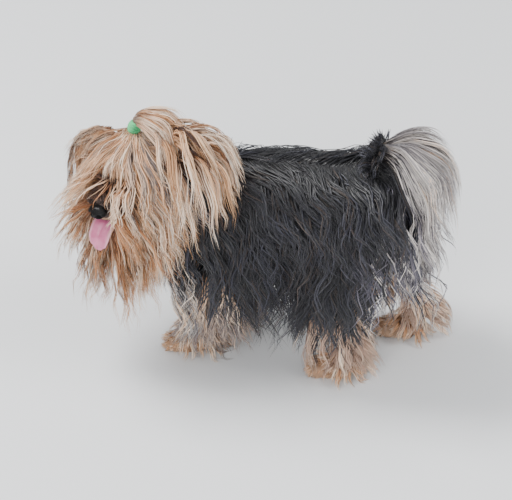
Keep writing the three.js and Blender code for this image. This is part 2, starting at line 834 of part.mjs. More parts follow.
// The head: skull, muzzle, lips, jaw, lids, and the hair gathered up into the tie
const gatherForm = form(
  [
    [onHead(4, 0, 16), 22, 22],
    [onHead(1, 0, 31), 10, 10],
    [alongTie(-5), TIE_HOLE, TIE_HOLE],
    [alongTie(-2.5), TIE_HOLE, TIE_HOLE],
  ],
  head.forward,
);
function lidGeometry(side, grow) {
  const [wide, high, cord] = [7.2, 5.6, 1.7];
  const ring = new THREE.TorusGeometry(1, 0.5, 5, 12);
  const position = ring.getAttribute("position");
  for (let v = 0; v < position.count; v++) {
    const [x, y, z] = [position.getX(v), position.getY(v), position.getZ(v)];
    const turn = Math.atan2(y, x);
    const away = (Math.hypot(x, y) - 1) * 2 * (cord + grow);
    const across = Math.cos(turn) * (wide + away);
    const upward = Math.sin(turn) * (high + away);
    const curl = 25.4 - 1.8 * Math.cos(turn) ** 2 + z * 2 * (cord + grow);
    const place = onHead(curl, side * (18.2 + across), upward);
    position.setXYZ(v, place.x, place.y, place.z);
  }
  return ring;
}
function lipPoints(side) {
  return [
    onHead(NOSE_AHEAD - 3, side * 1.5, -23),
    onHead(NOSE_AHEAD - 8, side * 9, -26),
    onHead(38, side * 13.5, -26.5),
    onHead(26, side * 16, -27),
  ];
}
recipes.set("head", {
  look: look.gold,
  join: (grow) => [
    formGeometry(skullForm, grow, 14, 2),
    formGeometry(gatherForm, grow, 8, 1),
    formGeometry(muzzleForm, grow, 12, 2),
    formGeometry(jawForm, grow, 10, 2),
    ...leftRight.map((side) => lidGeometry(side, grow)),
    ...leftRight.map((side) => ridgeGeometry(lipPoints(side), 2.2, grow)),
    ...coat("head", grow),
  ],
});

recipes.set("neck", {
  look: look.cream,
  join: (grow) => [formGeometry(neckForm, grow, 12, 1), ...coat("neck", grow)],
});
recipes.set("torso", {
  look: look.steel,
  join: (grow) => [formGeometry(torsoForm, grow, 16, 1), ...coat("torso", grow)],
});
recipes.set("tail", {
  look: look.cream,
  join: (grow) => [formGeometry(tailForm, grow, 10, 1), ...coat("tail", grow)],
});

// Paws with four toes, cut flat where they stand
const toes = [-1.5, -0.5, 0.5, 1.5];
function toeCentre(plan, toe) {
  const ahead = PAW_LENGTH * (Math.abs(toe) > 1 ? 0.26 : 0.36);
  return vec(plan.paw.x + toe * PAW_HALF * 0.46, plan.paw.y - ahead, 7.5);
}
for (const [name, plan] of Object.entries(legPlans)) {
  toes.forEach((toe, i) => {
    recipes.set(`claw_${name}_${i + 1}`, {
      look: look.claw,
      join: (grow) => {
        const claw = new THREE.ConeGeometry(1.8 + grow, 9 + 2 * grow, 5, 1);
        claw.rotateX(Math.PI - radians(70));
        const root = toeCentre(plan, toe);
        return [claw.translate(root.x, root.y - 8, root.z - 1.5)];
      },
    });
  });
}
for (const [name, plan] of Object.entries(legPlans)) {
  recipes.set(`paw_${name}`, {
    look: look.tan,
    join: (grow) => [
      ovalGeometry(
        vec(plan.paw.x, plan.paw.y + 1, 8.5),
        plainBasis,
        [PAW_HALF, PAW_LENGTH * 0.45, 13],
        grow,
        9,
      ),
      ...toes.map((toe) =>
        ovalGeometry(toeCentre(plan, toe), plainBasis, [4.4, 9, 8.4], grow, 6),
      ),
    ],
    flat: true,
  });
}
for (const name of Object.keys(legPlans)) {
  recipes.set(`leg_${name}`, {
    look: look.tan,
    join: (grow) => [formGeometry(legForms[name], grow, 9, 1), ...coat(`leg_${name}`, grow)],
  });
}

// The floor: everything below the soles is cut away
function floorSolid() {
  const slab = new THREE.BoxGeometry(600, 800, 60);
  slab.translate(0, 0, -30);
  return toSolid(slab);
}

// Each node in turn is cut clear of all the nodes before it
const dog = new THREE.Group();
let taken = null;
for (const [name, recipe] of recipes) {
  let solid = joined(recipe.join(0));
  if (recipe.cut) solid = solid.subtract(joined(recipe.cut()));
  if (recipe.flat) solid = solid.subtract(floorSolid());
  if (taken) solid = solid.subtract(taken);
  solid = settled(solid);
  const grown = joined(recipe.join(GAP));
  taken = taken ? taken.add(grown) : grown;
  const material = new THREE.MeshStandardMaterial({ ...recipe.look, metalness: 0 });
  const mesh = new THREE.Mesh(toGeometry(solid), material);
  mesh.geometry.computeVertexNormals();
  mesh.name = name;
  dog.add(mesh);
}

// The origin is on the floor, under the middle of the dog's outline
const outline = new THREE.Box3().setFromObject(dog);
const middle = outline.getCenter(vec(0, 0, 0));
dog.position.set(-middle.x, -middle.y, 0);

export default dog;
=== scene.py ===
# %% [markdown]
# # A Yorkshire terrier in full coat
# The dog stands in mid step with its head turned to its left. A smooth skin gives the body, and tens of
# thousands of thin tapered tufts lie over it in locks, as the real coat does. Everything is measured in
# millimetres in the dog's own frame first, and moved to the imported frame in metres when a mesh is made.

import json
import math

import bmesh
import bpy
import numpy as np
from mathutils import Matrix, Vector

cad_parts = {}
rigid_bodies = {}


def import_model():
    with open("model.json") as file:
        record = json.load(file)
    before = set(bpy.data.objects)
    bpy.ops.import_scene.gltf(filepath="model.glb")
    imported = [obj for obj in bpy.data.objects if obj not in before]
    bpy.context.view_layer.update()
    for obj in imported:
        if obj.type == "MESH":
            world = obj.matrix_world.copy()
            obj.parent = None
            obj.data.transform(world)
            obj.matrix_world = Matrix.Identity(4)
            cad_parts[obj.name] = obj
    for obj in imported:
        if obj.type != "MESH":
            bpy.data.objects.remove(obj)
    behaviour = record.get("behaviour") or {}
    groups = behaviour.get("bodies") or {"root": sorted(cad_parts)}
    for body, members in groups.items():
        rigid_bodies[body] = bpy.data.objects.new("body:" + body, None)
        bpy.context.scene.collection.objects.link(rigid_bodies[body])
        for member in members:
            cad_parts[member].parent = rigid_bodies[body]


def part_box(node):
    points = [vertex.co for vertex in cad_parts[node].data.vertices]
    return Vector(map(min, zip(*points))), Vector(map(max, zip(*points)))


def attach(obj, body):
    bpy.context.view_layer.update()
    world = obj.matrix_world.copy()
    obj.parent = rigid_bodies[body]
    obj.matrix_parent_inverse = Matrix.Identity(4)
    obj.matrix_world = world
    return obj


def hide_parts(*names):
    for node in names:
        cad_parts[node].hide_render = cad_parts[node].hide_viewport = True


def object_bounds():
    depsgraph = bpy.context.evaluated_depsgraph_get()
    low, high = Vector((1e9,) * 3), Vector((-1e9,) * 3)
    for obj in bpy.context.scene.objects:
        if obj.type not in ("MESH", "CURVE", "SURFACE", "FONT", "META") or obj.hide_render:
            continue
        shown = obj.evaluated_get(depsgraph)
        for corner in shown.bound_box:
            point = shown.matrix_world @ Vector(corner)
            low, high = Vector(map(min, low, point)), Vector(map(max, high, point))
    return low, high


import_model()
cad_low, cad_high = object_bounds()
rng = np.random.default_rng(41)
print("solids' box", [round(v, 4) for v in (*cad_low, *cad_high)])

# %% [markdown]
# ## The head's own axes
# The head is turned and bent on the neck, so every place on it is given as forward, left and up from the
# middle of the skull. The eyes are plain balls in the solids, and their middles tell where the packed
# frame has its origin.

# %% Head axes and the way from the dog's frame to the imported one
WITHERS = 216.0
HEAD_YAW = math.radians(65)
HEAD_PITCH = math.radians(3)
UP = np.array([0.0, 0.0, 1.0])
DOWN = -UP
FORWARD = np.array(
    [
        math.sin(HEAD_YAW) * math.cos(HEAD_PITCH),
        -math.cos(HEAD_YAW) * math.cos(HEAD_PITCH),
        -math.sin(HEAD_PITCH),
    ]
)
LEFT = np.array([math.cos(HEAD_YAW), math.sin(HEAD_YAW), 0.0])
TOP = np.cross(FORWARD, LEFT)
SKULL = np.array([22.0, -109.0, WITHERS - 3])


def on_head(forward, left, up):
    """A place on the head, in the dog's frame."""
    return SKULL + FORWARD * forward + LEFT * left + TOP * up


def headward(forward, left, up):
    """A direction on the head."""
    return FORWARD * forward + LEFT * left + TOP * up


EYE_PLACE = {"left": on_head(21, 17.5, 0), "right": on_head(21, -17.5, 0)}
eye_low, eye_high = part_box("eye_left")
SHIFT = np.array((eye_low + eye_high) / 2) * 1000 - EYE_PLACE["left"]


def to_frame(points):
    """Millimetres in the dog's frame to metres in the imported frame."""
    return (np.asarray(points) + SHIFT) / 1000


print("the dog's frame is moved by", SHIFT.round(3), "mm")

# %% [markdown]
# ## Camera
# The photo looks down at the dog from its left, from about 1.9 m away and 38 degrees up. The lens is long
# enough for one pixel to show about 0.95 mm at the dog.

# %% Camera
CAMERA_TURN = math.radians(98)
CAMERA_RISE = math.radians(38)
CAMERA_AWAY = 1.9
PIXEL_MM = 0.95
PHOTO_WIDTH = 512
toward_camera = np.array(
    [
        math.sin(CAMERA_TURN) * math.cos(CAMERA_RISE),
        -math.cos(CAMERA_TURN) * math.cos(CAMERA_RISE),
        math.sin(CAMERA_RISE),
    ]
)
camera_data = bpy.data.cameras.new("camera")
camera_data.sensor_width = 36
camera_data.lens = camera_data.sensor_width * CAMERA_AWAY * 1000 / PIXEL_MM / PHOTO_WIDTH
camera = bpy.data.objects.new("camera", camera_data)
bpy.context.scene.collection.objects.link(camera)
camera.location = to_frame([0, 0, 110]) + toward_camera * CAMERA_AWAY
camera.rotation_euler = Vector(toward_camera).to_track_quat("Z", "Y").to_euler()
bpy.context.scene.camera = camera
print("lens", round(camera_data.lens, 1), "mm")

# %% [markdown]
# ## The body as forms
# Each part of the body is a chain of oval sections: a centre, a half width and a half height at each. They
# could be sculpted by hand, but then nothing else would know where the skin is. Here the same chains give
# the skin, the places where hair grows, and the surface that hair lies on. `inset` is how far the skin lies
# inside the solids' form, whose core already stands for the lower half of the coat.


# %% Sections along a form
def smooth(x):
    """A soft step from 0 to 1."""
    x = np.clip(x, 0, 1)
    return x * x * (3 - 2 * x)


def unit(v):
    """Vectors of length one."""
    return v / np.maximum(np.linalg.norm(v, axis=-1, keepdims=True), 1e-9)


FORM_SAMPLES = 81
# Columns of a form's table: centre, along, side and top take three each, then come the two half sizes
HALF_WIDTH, HALF_HEIGHT = 12, 13
forms = {}


def add_form(name, stations, hint=UP, inset=0.0):
    """Keeps a chain of sections: centre, half width and half height of each."""
    centres = np.array([s[0] for s in stations], float)
    widths = np.array([s[1] for s in stations], float) - inset
    heights = np.array([s[2] for s in stations], float) - inset
    last = len(stations) - 1
    ends = np.vstack([2 * centres[0] - centres[1], centres, 2 * centres[-1] - centres[-2]])
    place = np.linspace(0, last, FORM_SAMPLES)
    index = np.minimum(place.astype(int), last - 1)
    share = (place - index)[:, None]
    before, a, b, after = (ends[index + k] for k in range(4))
    centre = 0.5 * (
        2 * a
        + (b - before) * share
        + (2 * before - 5 * a + 4 * b - after) * share**2
        + (3 * a - before - 3 * b + after) * share**3
    )
    along = unit(np.gradient(centre, axis=0))
    side = unit(np.cross(np.broadcast_to(hint, along.shape), along))
    top = unit(np.cross(along, side))
    step = smooth(share[:, 0])
    width = widths[index] * (1 - step) + widths[index + 1] * step
    height = heights[index] * (1 - step) + heights[index + 1] * step
    forms[name] = dict(
        points=centres, widths=widths, heights=heights, hint=np.asarray(hint, float),
        table=np.hstack([centre, along, side, top, width[:, None], height[:, None]]),
        length=float(np.linalg.norm(np.diff(centre, axis=0), axis=1).sum()),
    )


def section(form, t):
    """Centre, along, side, top, half width and half height at places t from 0 to 1."""
    table = forms[form]["table"]
    place = np.clip(t, 0, 1) * (FORM_SAMPLES - 1)
    low = np.minimum(place.astype(int), FORM_SAMPLES - 2)
    share = (place - low)[..., None]
    row = table[low] * (1 - share) + table[low + 1] * share
    centre, along, side, top = (row[..., k : k + 3] for k in (0, 3, 6, 9))
    return centre, unit(along), unit(side), unit(top), row[..., HALF_WIDTH], row[..., HALF_HEIGHT]


def surface(form, t, turn):
    """A form's surface and its normal. Below 0 and above 1, t runs over a rounded end to its pole."""
    t = np.asarray(t, float)
    angle = np.radians(turn)
    centre, along, side, top, width, height = section(form, t)
    lateral = np.where(side[..., 0] < 0, -1.0, 1.0)
    across = (np.sin(angle) * lateral)[..., None]
    upward = np.cos(angle)[..., None]
    rim = side * across * width[..., None] + top * upward * height[..., None]
    past = np.clip(np.where(t < 0, -t, t - 1), 0, 1) * math.pi / 2
    outward = along * np.where(t < 0.5, -1.0, 1.0)[..., None]
    reach = (np.minimum(width, height) * 0.9)[..., None]
    point = centre + rim * np.cos(past)[..., None] + outward * reach * np.sin(past)[..., None]
    normal = unit(side * across / width[..., None] + top * upward / height[..., None])
    normal = unit(normal * np.cos(past)[..., None] + outward * np.sin(past)[..., None])
    return point, normal


def vec(x, y, z):
    """A place or direction in the dog's frame: left, back and up."""
    return np.array([x, y, z], float)


def mix(a, b, share):
    """The value a share of the way from a to b."""
    return a + (b - a) * share


print(FORM_SAMPLES, "sections along each form")

# %% The dog's own forms
SIDES = {"left": 1, "right": -1}
BACK = WITHERS
CHEST_HALF = 44
NOSE_AHEAD = 59
add_form("torso", [
    (vec(0, -66, BACK - 76), 24, 26),
    (vec(0, -46, BACK - 62), CHEST_HALF * 0.88, 47),
    (vec(0, -8, BACK - 52), CHEST_HALF, 54),
    (vec(0, 42, BACK - 46), CHEST_HALF * 0.98, 49),
    (vec(0, 82, BACK - 41), CHEST_HALF * 0.92, 44),
    (vec(0, 110, BACK - 42), CHEST_HALF * 0.94, 44),
    (vec(0, 134, BACK - 52), CHEST_HALF * 0.62, 28),
], inset=4)
add_form("neck", [
    (vec(0, -34, BACK - 36), 33, 36),
    (vec(6, -64, BACK - 20), 29, 33),
    (vec(16, -96, BACK - 6), 26, 28),
], inset=3)
add_form("tail", [
    (vec(0, 114, BACK - 20), 12, 12),
    (vec(0, 113, BACK + 4), 10, 10),
    (vec(0, 119, BACK + 24), 7, 7),
], hint=vec(1, 0, 0), inset=2)
add_form("skull", [
    (on_head(-24, 0, -2), 22, 20),
    (on_head(-6, 0, 0), 30, 28),
    (on_head(14, 0, -1), 27.6, 26),
    (on_head(26, 0, -6), 20, 18),
], hint=TOP, inset=1)
add_form("muzzle", [
    (on_head(18, 0, -12), 20, 16),
    (on_head(34, 0, -15), 15, 12),
    (on_head(NOSE_AHEAD - 9, 0, -17), 12.5, 10.5),
], hint=TOP, inset=0.5)
JAW_OPEN = math.tan(math.radians(17)) * 0.75
add_form("jaw", [
    (on_head(4, 0, -20), 20, 10),
    (on_head(26, 0, -22 - JAW_OPEN * 22), 13, 6.5),
    (on_head(NOSE_AHEAD - 15, 0, -22 - JAW_OPEN * 42), 9, 4.6),
], hint=TOP, inset=0.5)
# Each leg's side, the place of its paw, and whether it is a foreleg
LEG_PLANS = {
    "front_left": (1, vec(22, -65, 0), True),
    "front_right": (-1, vec(-25, -40, 0), True),
    "hind_left": (1, vec(41, 77, 0), False),
    "hind_right": (-1, vec(-28, 137, 0), False),
}
for leg, (side, paw, fore) in LEG_PLANS.items():
    if fore:
        stations = [
            (vec(side * 28, -38, BACK - 58), 17, 27),
            (vec(side * 34, -26, 112), 14, 19),
            (vec(mix(side * 34, paw[0], 0.4), mix(-22, paw[1] + 8, 0.45), 76), 11, 12),
            (vec(paw[0], paw[1] + 10, 40), 10, 10),
            (vec(paw[0], paw[1] + 6, 22), 11, 11),
        ]
    else:
        knee = mix(74, paw[1] - 20, 0.35)
        hock = paw[1] + 22
        stations = [
            (vec(side * 28, 112, BACK - 52), 19, 38),
            (vec(side * 36, mix(96, knee, 0.5), 124), 18, 30),
            (vec(mix(side * 38, paw[0], 0.5), knee, 96), 15, 17),
            (vec(paw[0], mix(knee, hock, 0.8), 62), 10, 12),
            (vec(paw[0], hock, 44), 9, 10),
            (vec(paw[0], paw[1] + 12, 20), 11, 11),
        ]
    add_form(f"leg_{leg}", stations, hint=vec(0, -1, 0), inset=2)
    add_form(f"paw_{leg}", [
        (vec(paw[0], paw[1] + 13, 10), 10.5, 9.5),
        (vec(paw[0], paw[1] - 4, 9), 11.5, 9),
        (vec(paw[0], paw[1] - 14, 7.5), 10.5, 7),
    ])
TIE = on_head(-2, 1, 42)
TIE_LEAN = unit(TOP + LEFT * 0.35 - FORWARD * 0.3)
add_form("gather", [
    (on_head(4, 0, 16), 19, 19),
    (on_head(1, 0, 30), 8.5, 8.5),
    (TIE - TIE_LEAN * 5, 3, 3),
    (TIE - TIE_LEAN * 1, 2.6, 2.6),
], hint=FORWARD)
print(len(forms), "forms")

# %% [markdown]
# ## How far a point is outside the body
# Hair must lie on the skin and never inside it. Asking the finished mesh for the nearest face would be
# slow for a million points, so every form is read as a chain of stretched capsules instead. The nearest
# one says how far a point is outside and which way leads out.


# %% The nearest skin
def capsules():
    """All stretches of all forms, each with its start, its axes and its sizes at both ends."""
    rows = []
    for form in forms.values():
        for i in range(len(form["points"]) - 1):
            a, b = form["points"][i], form["points"][i + 1]
            axis = b - a
            along = axis / np.linalg.norm(axis)
            side = unit(np.cross(form["hint"], along))
            top = np.cross(along, side)
            sizes = form["widths"][i : i + 2], form["heights"][i : i + 2]
            rows.append((a, axis, along, side, top, *sizes))
    return rows


CAPSULES = capsules()


def skin_at(points):
    """Distance outside the skin and the way out, for many points at once."""
    shape = points.shape
    flat = points.reshape(-1, 3)
    nearest = np.full(len(flat), 1e9)
    way = np.zeros_like(flat)
    for a, axis, along, side, top, widths, heights in CAPSULES:
        share = np.clip((flat - a) @ axis / (axis @ axis), 0, 1)
        away = flat - a - share[:, None] * axis
        width = mix(widths[0], widths[1], share)
        height = mix(heights[0], heights[1], share)
        end = np.minimum(width, height)
        p, q, r = away @ side, away @ top, away @ along
        ratio = np.maximum(np.sqrt((p / width) ** 2 + (q / height) ** 2 + (r / end) ** 2), 1e-6)
        distance = np.linalg.norm(away, axis=1) * (1 - 1 / ratio)
        closer = distance < nearest
        nearest[closer] = distance[closer]
        out = (
            side * (p / width**2)[:, None] + top * (q / height**2)[:, None] + along * (r / end**2)[:, None]
        )
        way[closer] = out[closer]
    return nearest.reshape(shape[:-1]), unit(way).reshape(shape)


print(len(CAPSULES), "capsules")

# %% [markdown]
# ## One skin for the whole body
# The skin is made as a sculptor blocks out a figure: a ball is stretched along each form, and all of them
# are melted into one surface with a voxel remesh, then smoothed. That leaves no seam where a leg or the
# neck begins. Ears are thin cupped leaves, paws are a pad with four toes, and the lids are rings.


# %% Helpers that build with bmesh
def stretched_ball(bm, form, around=28, rows=30):
    """A ball whose rows follow a form from pole to pole."""
    made = bmesh.ops.create_uvsphere(bm, u_segments=around, v_segments=rows, radius=1)["verts"]
    places = np.array([v.co for v in made])
    t = mix(-1, 2, np.arccos(np.clip(places[:, 2], -1, 1)) / math.pi)
    turn = np.degrees(np.arctan2(places[:, 0], places[:, 1]))
    points, _ = surface(form, t, turn)
    for v, point in zip(made, to_frame(points)):
        v.co = point


def oval(bm, centre, axes, halves, segments=24):
    """A ball with half sizes along three axes."""
    made = bmesh.ops.create_uvsphere(bm, u_segments=segments, v_segments=segments // 2, radius=1)["verts"]
    stretch = np.array(axes) * np.array(halves, float)[:, None]
    points = np.array([v.co for v in made]) @ stretch + centre
    for v, point in zip(made, to_frame(points)):
        v.co = point
    return made


def new_piece(name, bm):
    """A bmesh as a finished object at the origin, with its faces pointing out."""
    bmesh.ops.recalc_face_normals(bm, faces=bm.faces)
    for face in bm.faces:
        face.smooth = True
    mesh = bpy.data.meshes.new(name)
    bm.to_mesh(mesh)
    bm.free()
    piece = bpy.data.objects.new(name, mesh)
    bpy.context.scene.collection.objects.link(piece)
    return piece


def settled(piece):
    """Applies a piece's modifiers to its mesh."""
    graph = bpy.context.evaluated_depsgraph_get()
    mesh = bpy.data.meshes.new_from_object(piece.evaluated_get(graph))
    piece.modifiers.clear()
    old = piece.data
    piece.data = mesh
    bpy.data.meshes.remove(old)
    return piece


HEAD_AXES = np.array([FORWARD, LEFT, TOP])
PLAIN_AXES = np.eye(3)
PAW_LENGTH = 35
PAW_HALF = 12.5
EAR_LENGTH = 36


def ear_frame(side):
    """Root, length, face and across of an ear."""
    root = on_head(-5, side * 24, 19)
    length = unit(headward(-0.15, side, 0.5 if side > 0 else -0.25))
    face = unit(FORWARD - length * (FORWARD @ length))
    return root, length, face, unit(np.cross(face, length))


def ear_leaf(bm, side, thin=3.4):
    """The leaf of an ear, cupped toward its face."""
    root, length, face, across = ear_frame(side)
    made = bmesh.ops.create_uvsphere(bm, u_segments=32, v_segments=24, radius=1)["verts"]
    for v in made:
        ring = max(math.hypot(v.co.x, v.co.y), 1e-6)
        x, z = v.co.x / ring, v.co.y / ring
        t = (v.co.z + 1) / 2
        half = (13.5 * (1 - t) ** 0.55 + 1.6) * (0.88 + 0.3 * t) * min(1, ring * 2)
        cup = 6.5 * x * x * (1 - 0.8 * t)
        point = root + length * (-6 + t * (EAR_LENGTH + 6)) + across * x * half
        v.co = to_frame(point + face * (cup + z * thin * (1 - 0.45 * t) * min(1, ring * 2)))


def toe_place(paw, toe):
    """The middle of a toe, counted from -1.5 to 1.5 across the paw."""
    ahead = PAW_LENGTH * (0.26 if abs(toe) > 1 else 0.36)
    return vec(paw[0] + toe * PAW_HALF * 0.46, paw[1] - ahead, 7.5)


print("ears", EAR_LENGTH, "mm, paws", PAW_LENGTH, "mm long")

# %% The skin
TOES = (-1.5, -0.5, 0.5, 1.5)
TOE_HALVES = (4.1, 8.6, 7.9)
SKIN_VOXEL = 0.0021
SOLE_GAP = 0.0003
bm = bmesh.new()
for form in forms:
    stretched_ball(bm, form)
for side in SIDES.values():
    ear_leaf(bm, side)
for _, paw, _ in LEG_PLANS.values():
    oval(bm, vec(paw[0], paw[1] + 1, 8.5), PLAIN_AXES, (PAW_HALF - 0.6, PAW_LENGTH * 0.45 - 0.6, 12))
    for toe in TOES:
        oval(bm, toe_place(paw, toe), PLAIN_AXES, TOE_HALVES, 16)
skin = new_piece("skin", bm)
melt = skin.modifiers.new("melt", "REMESH")
melt.mode = "VOXEL"
melt.voxel_size = SKIN_VOXEL
melt.use_smooth_shade = True
relax = skin.modifiers.new("relax", "SMOOTH")
relax.iterations = 3
relax.factor = 0.5
settled(skin)
skin_points = np.empty(len(skin.data.vertices) * 3)
skin.data.vertices.foreach_get("co", skin_points)
skin_points = skin_points.reshape(-1, 3)
skin_points[:, 2] = np.maximum(skin_points[:, 2], SOLE_GAP)
skin.data.vertices.foreach_set("co", skin_points.ravel())
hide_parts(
    "head", "neck", "torso", "tail", "topknot", "ear_left", "ear_right",
    *(f"{part}_{leg}" for part in ("leg", "paw") for leg in LEG_PLANS),
)
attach(skin, "root")
print("skin", len(skin.data.polygons), "faces")

# %% [markdown]
# ## Eyes and lids
# The eye is a ball with a bulging cornea, and the hair hides most of it. A plain ball would do for the
# white, but the cornea's bulge is what catches the light, so the front of the ball is pushed out. Each
# vertex also keeps its angle from the way the eye looks, from which the finish draws pupil and iris.

# %% Eyes
EYE_RADIUS = 7.4
LOOK_OUT = 0.38
CORNEA_HALF = 0.62
CORNEA_RISE = 0.07


def eye_axes(side):
    """An eye's own axes: the way it looks, across and up."""
    look = unit(headward(1, side * LOOK_OUT, 0.05))
    across = unit(np.cross(TOP, look))
    return np.array([look, across, np.cross(look, across)])


for name, side in SIDES.items():
    axes = eye_axes(side)
    bm = bmesh.new()
    ball = oval(bm, np.zeros(3), PLAIN_AXES, (1, 1, 1), 40)
    for v in ball:
        v.co = Vector(np.array(v.co) * 1000 - SHIFT)
        around = math.hypot(v.co.y, v.co.z)
        bulge = CORNEA_RISE * max(0, 1 - (around / CORNEA_HALF) ** 2) if v.co.x > 0 else 0
        place = axes.T @ (np.array(v.co) * (EYE_RADIUS * (1 + bulge)))
        v.co = to_frame(EYE_PLACE[name] + place)
    eye = new_piece(f"eyeball_{name}", bm)
    look = eye.data.attributes.new("look", "FLOAT", "POINT")
    middle = to_frame(EYE_PLACE[name])
    values = [
        math.degrees(math.acos(np.clip(unit(np.array(v.co) - middle) @ axes[0], -1, 1)))
        for v in eye.data.vertices
    ]
    look.data.foreach_set("value", values)
    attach(eye, "root")
    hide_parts(f"eye_{name}")
    print(eye.name, len(eye.data.polygons), "faces")

# %% [markdown]
# The lids are a rounded rim of skin all round the opening. A small circle spun a full turn gives a ring,
# and each of its points is then laid on the eye's ball at the opening's width and height. That is simpler
# than cutting a slit into the skin, and the rim stays even.

# %% Lids
LID_WIDE = 7.0
LID_HIGH = 5.2
LID_CORD = 1.5
LID_THICK = 1.7
LID_STEPS = 32
lids = bmesh.new()
for name, side in SIDES.items():
    axes = eye_axes(side)
    before = set(lids.verts)
    cord = bmesh.ops.create_circle(lids, segments=10, radius=LID_CORD)["verts"]
    edges = [e for e in lids.edges if e.verts[0] in cord]
    bmesh.ops.rotate(lids, verts=cord, cent=(0, 0, 0), matrix=Matrix.Rotation(math.pi / 2, 3, "X"))
    bmesh.ops.translate(lids, verts=cord, vec=(LID_WIDE, 0, 0))
    bmesh.ops.spin(
        lids, geom=cord + edges, cent=(0, 0, 0), axis=(0, 0, 1), angle=2 * math.pi, steps=LID_STEPS,
        use_merge=True,
    )
    for v in set(lids.verts) - before:
        reach = math.hypot(v.co.x, v.co.y)
        cosine, sine = v.co.x / reach, v.co.y / reach
        across, upward = LID_WIDE * cosine, LID_HIGH * sine
        ahead = math.sqrt(max((EYE_RADIUS + 0.4) ** 2 - across**2 - upward**2, 4))
        centre = EYE_PLACE[name] + axes[0] * ahead + axes[1] * across + axes[2] * upward
        out = unit(centre - EYE_PLACE[name])
        sideways = unit(axes[1] * cosine + axes[2] * sine)
        sideways = unit(sideways - out * (sideways @ out))
        v.co = to_frame(centre + out * v.co.z + sideways * (reach - LID_WIDE) * LID_THICK)
eyelids = new_piece("eyelids", lids)
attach(eyelids, "root")
print("eyelids", len(eyelids.data.polygons), "faces")

# %% [markdown]
# ## Nose and tongue
# The nose is one leathery form with two comma-shaped nostrils and a groove down its middle. Nostrils could
# be cut out with a boolean, but their edges are soft, so a fine ball is dented by smooth bumps instead.

# %% Nose
NOSE = on_head(NOSE_AHEAD, 0, -13)
NOSE_WIDE = 8.7
NOSE_HIGH = 6.2
NOSE_DROP = 0.6
GROOVE_DEEP = 1.1
NOSTRIL_DEEP = 3.6
COMMA_DEEP = 2.2
NOSTRIL_RIM = 0.5
bm = bmesh.new()
ball = bmesh.ops.create_uvsphere(bm, u_segments=64, v_segments=40, radius=1)["verts"]
for v in ball:
    x, y, z = v.co
    width = NOSE_WIDE * (1 + 0.16 * smooth((z + 0.2) * 1.4) - 0.2 * smooth(-z * 1.3))
    point = np.array([x * NOSE_HIGH - max(z, 0) * 1.6, y * width, z * NOSE_HIGH - NOSE_DROP])
    if x > 0:
        groove = math.exp(-((point[1] / 0.7) ** 2)) * smooth((1.2 - z * 2) / 1.6)
        point[0] -= GROOVE_DEEP * groove
        for side in SIDES.values():
            away = math.hypot((point[1] - side * 4.5) / 2.2, (point[2] + 0.6) / 1.7)
            comma_away = math.hypot((point[1] - side * 6.6) / 2.0, (point[2] + 2.2) / 0.9)
            point[0] -= NOSTRIL_DEEP * math.exp(-(away**4)) + COMMA_DEEP * math.exp(-(comma_away**4))
            point[0] += NOSTRIL_RIM * math.exp(-((away - 1.5) ** 2) * 6)
    v.co = to_frame(NOSE + HEAD_AXES.T @ point)
nose_piece = new_piece("nose_leather", bm)
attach(nose_piece, "root")
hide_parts("nose")
print("nose", len(nose_piece.data.polygons), "faces")

# %% [markdown]
# The tongue is a thin leaf that hangs over the lower lip. It is a form like the body's parts, so it bends
# evenly, and its middle is then sunk into a furrow while its edges curl up.

# %% Tongue
TONGUE_FURROW = 0.9
TONGUE_CURL = 0.8
TONGUE = [
    (on_head(26, 0, -26), 9, 2.6),
    (on_head(42, 0, -30), 10.5, 2.4),
    (on_head(53, 0, -34), 11.5, 2.2),
    (on_head(60, 0, -42), 11, 2.0),
    (on_head(62.5, 0, -48.5), 9, 1.7),
    (on_head(63.5, 0, -53), 4.2, 1.4),
]
add_form("tongue", TONGUE, hint=TOP)
bm = bmesh.new()
stretched_ball(bm, "tongue", 48, 48)
for v in bm.verts:
    point = np.array(v.co) * 1000 - SHIFT
    across = (point - SKULL) @ LEFT
    point -= (TOP + FORWARD) * TONGUE_FURROW * math.exp(-((across / 1.4) ** 2))
    point += (TOP + FORWARD) * TONGUE_CURL * (across / 10) ** 2
    v.co = to_frame(point)
tongue = new_piece("tongue_leaf", bm)
rim = tongue.data.attributes.new("rim", "FLOAT", "POINT")
edge = [abs((np.array(v.co) * 1000 - SHIFT - SKULL) @ LEFT) for v in tongue.data.vertices]
rim.data.foreach_set("value", [float(smooth((e - 7.5) / 3)) * 0.8 for e in edge])
# No hair grows on the tongue, so its form goes again
del forms["tongue"]
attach(tongue, "root")
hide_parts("tongue")
print("tongue", len(tongue.data.polygons), "faces")

# %% [markdown]
# ## Hair tie
# A thin elastic is wound several times round the gathered forehead hair. Five rings would do, but a circle
# spun round the tie's axis while it moves along it gives one coil, as the real elastic is wound.

# %% Hair tie
TIE_RADIUS = 5.2
TIE_CORD = 1.3
TIE_TURNS = 5
TIE_STEPS = 30 * TIE_TURNS
TIE_RISE = 2.0
TIE_HEIGHT = TIE_CORD * 1.7 * TIE_TURNS
bm = bmesh.new()
circle = bmesh.ops.create_circle(bm, segments=12, radius=TIE_CORD)["verts"]
bmesh.ops.rotate(bm, verts=circle, cent=(0, 0, 0), matrix=Matrix.Rotation(math.pi / 2, 3, "X"))
bmesh.ops.translate(bm, verts=circle, vec=(TIE_RADIUS, 0, -TIE_HEIGHT / 2))
bmesh.ops.spin(
    bm, geom=circle + list(bm.edges), cent=(0, 0, 0), axis=(0, 0, 1),
    dvec=(0, 0, TIE_HEIGHT / TIE_STEPS), angle=2 * math.pi * TIE_TURNS, steps=TIE_STEPS,
    use_merge=False,
)
bmesh.ops.holes_fill(bm, edges=[e for e in bm.edges if e.is_boundary])
lean = Vector(TIE_LEAN).to_track_quat("Z", "Y").to_matrix()
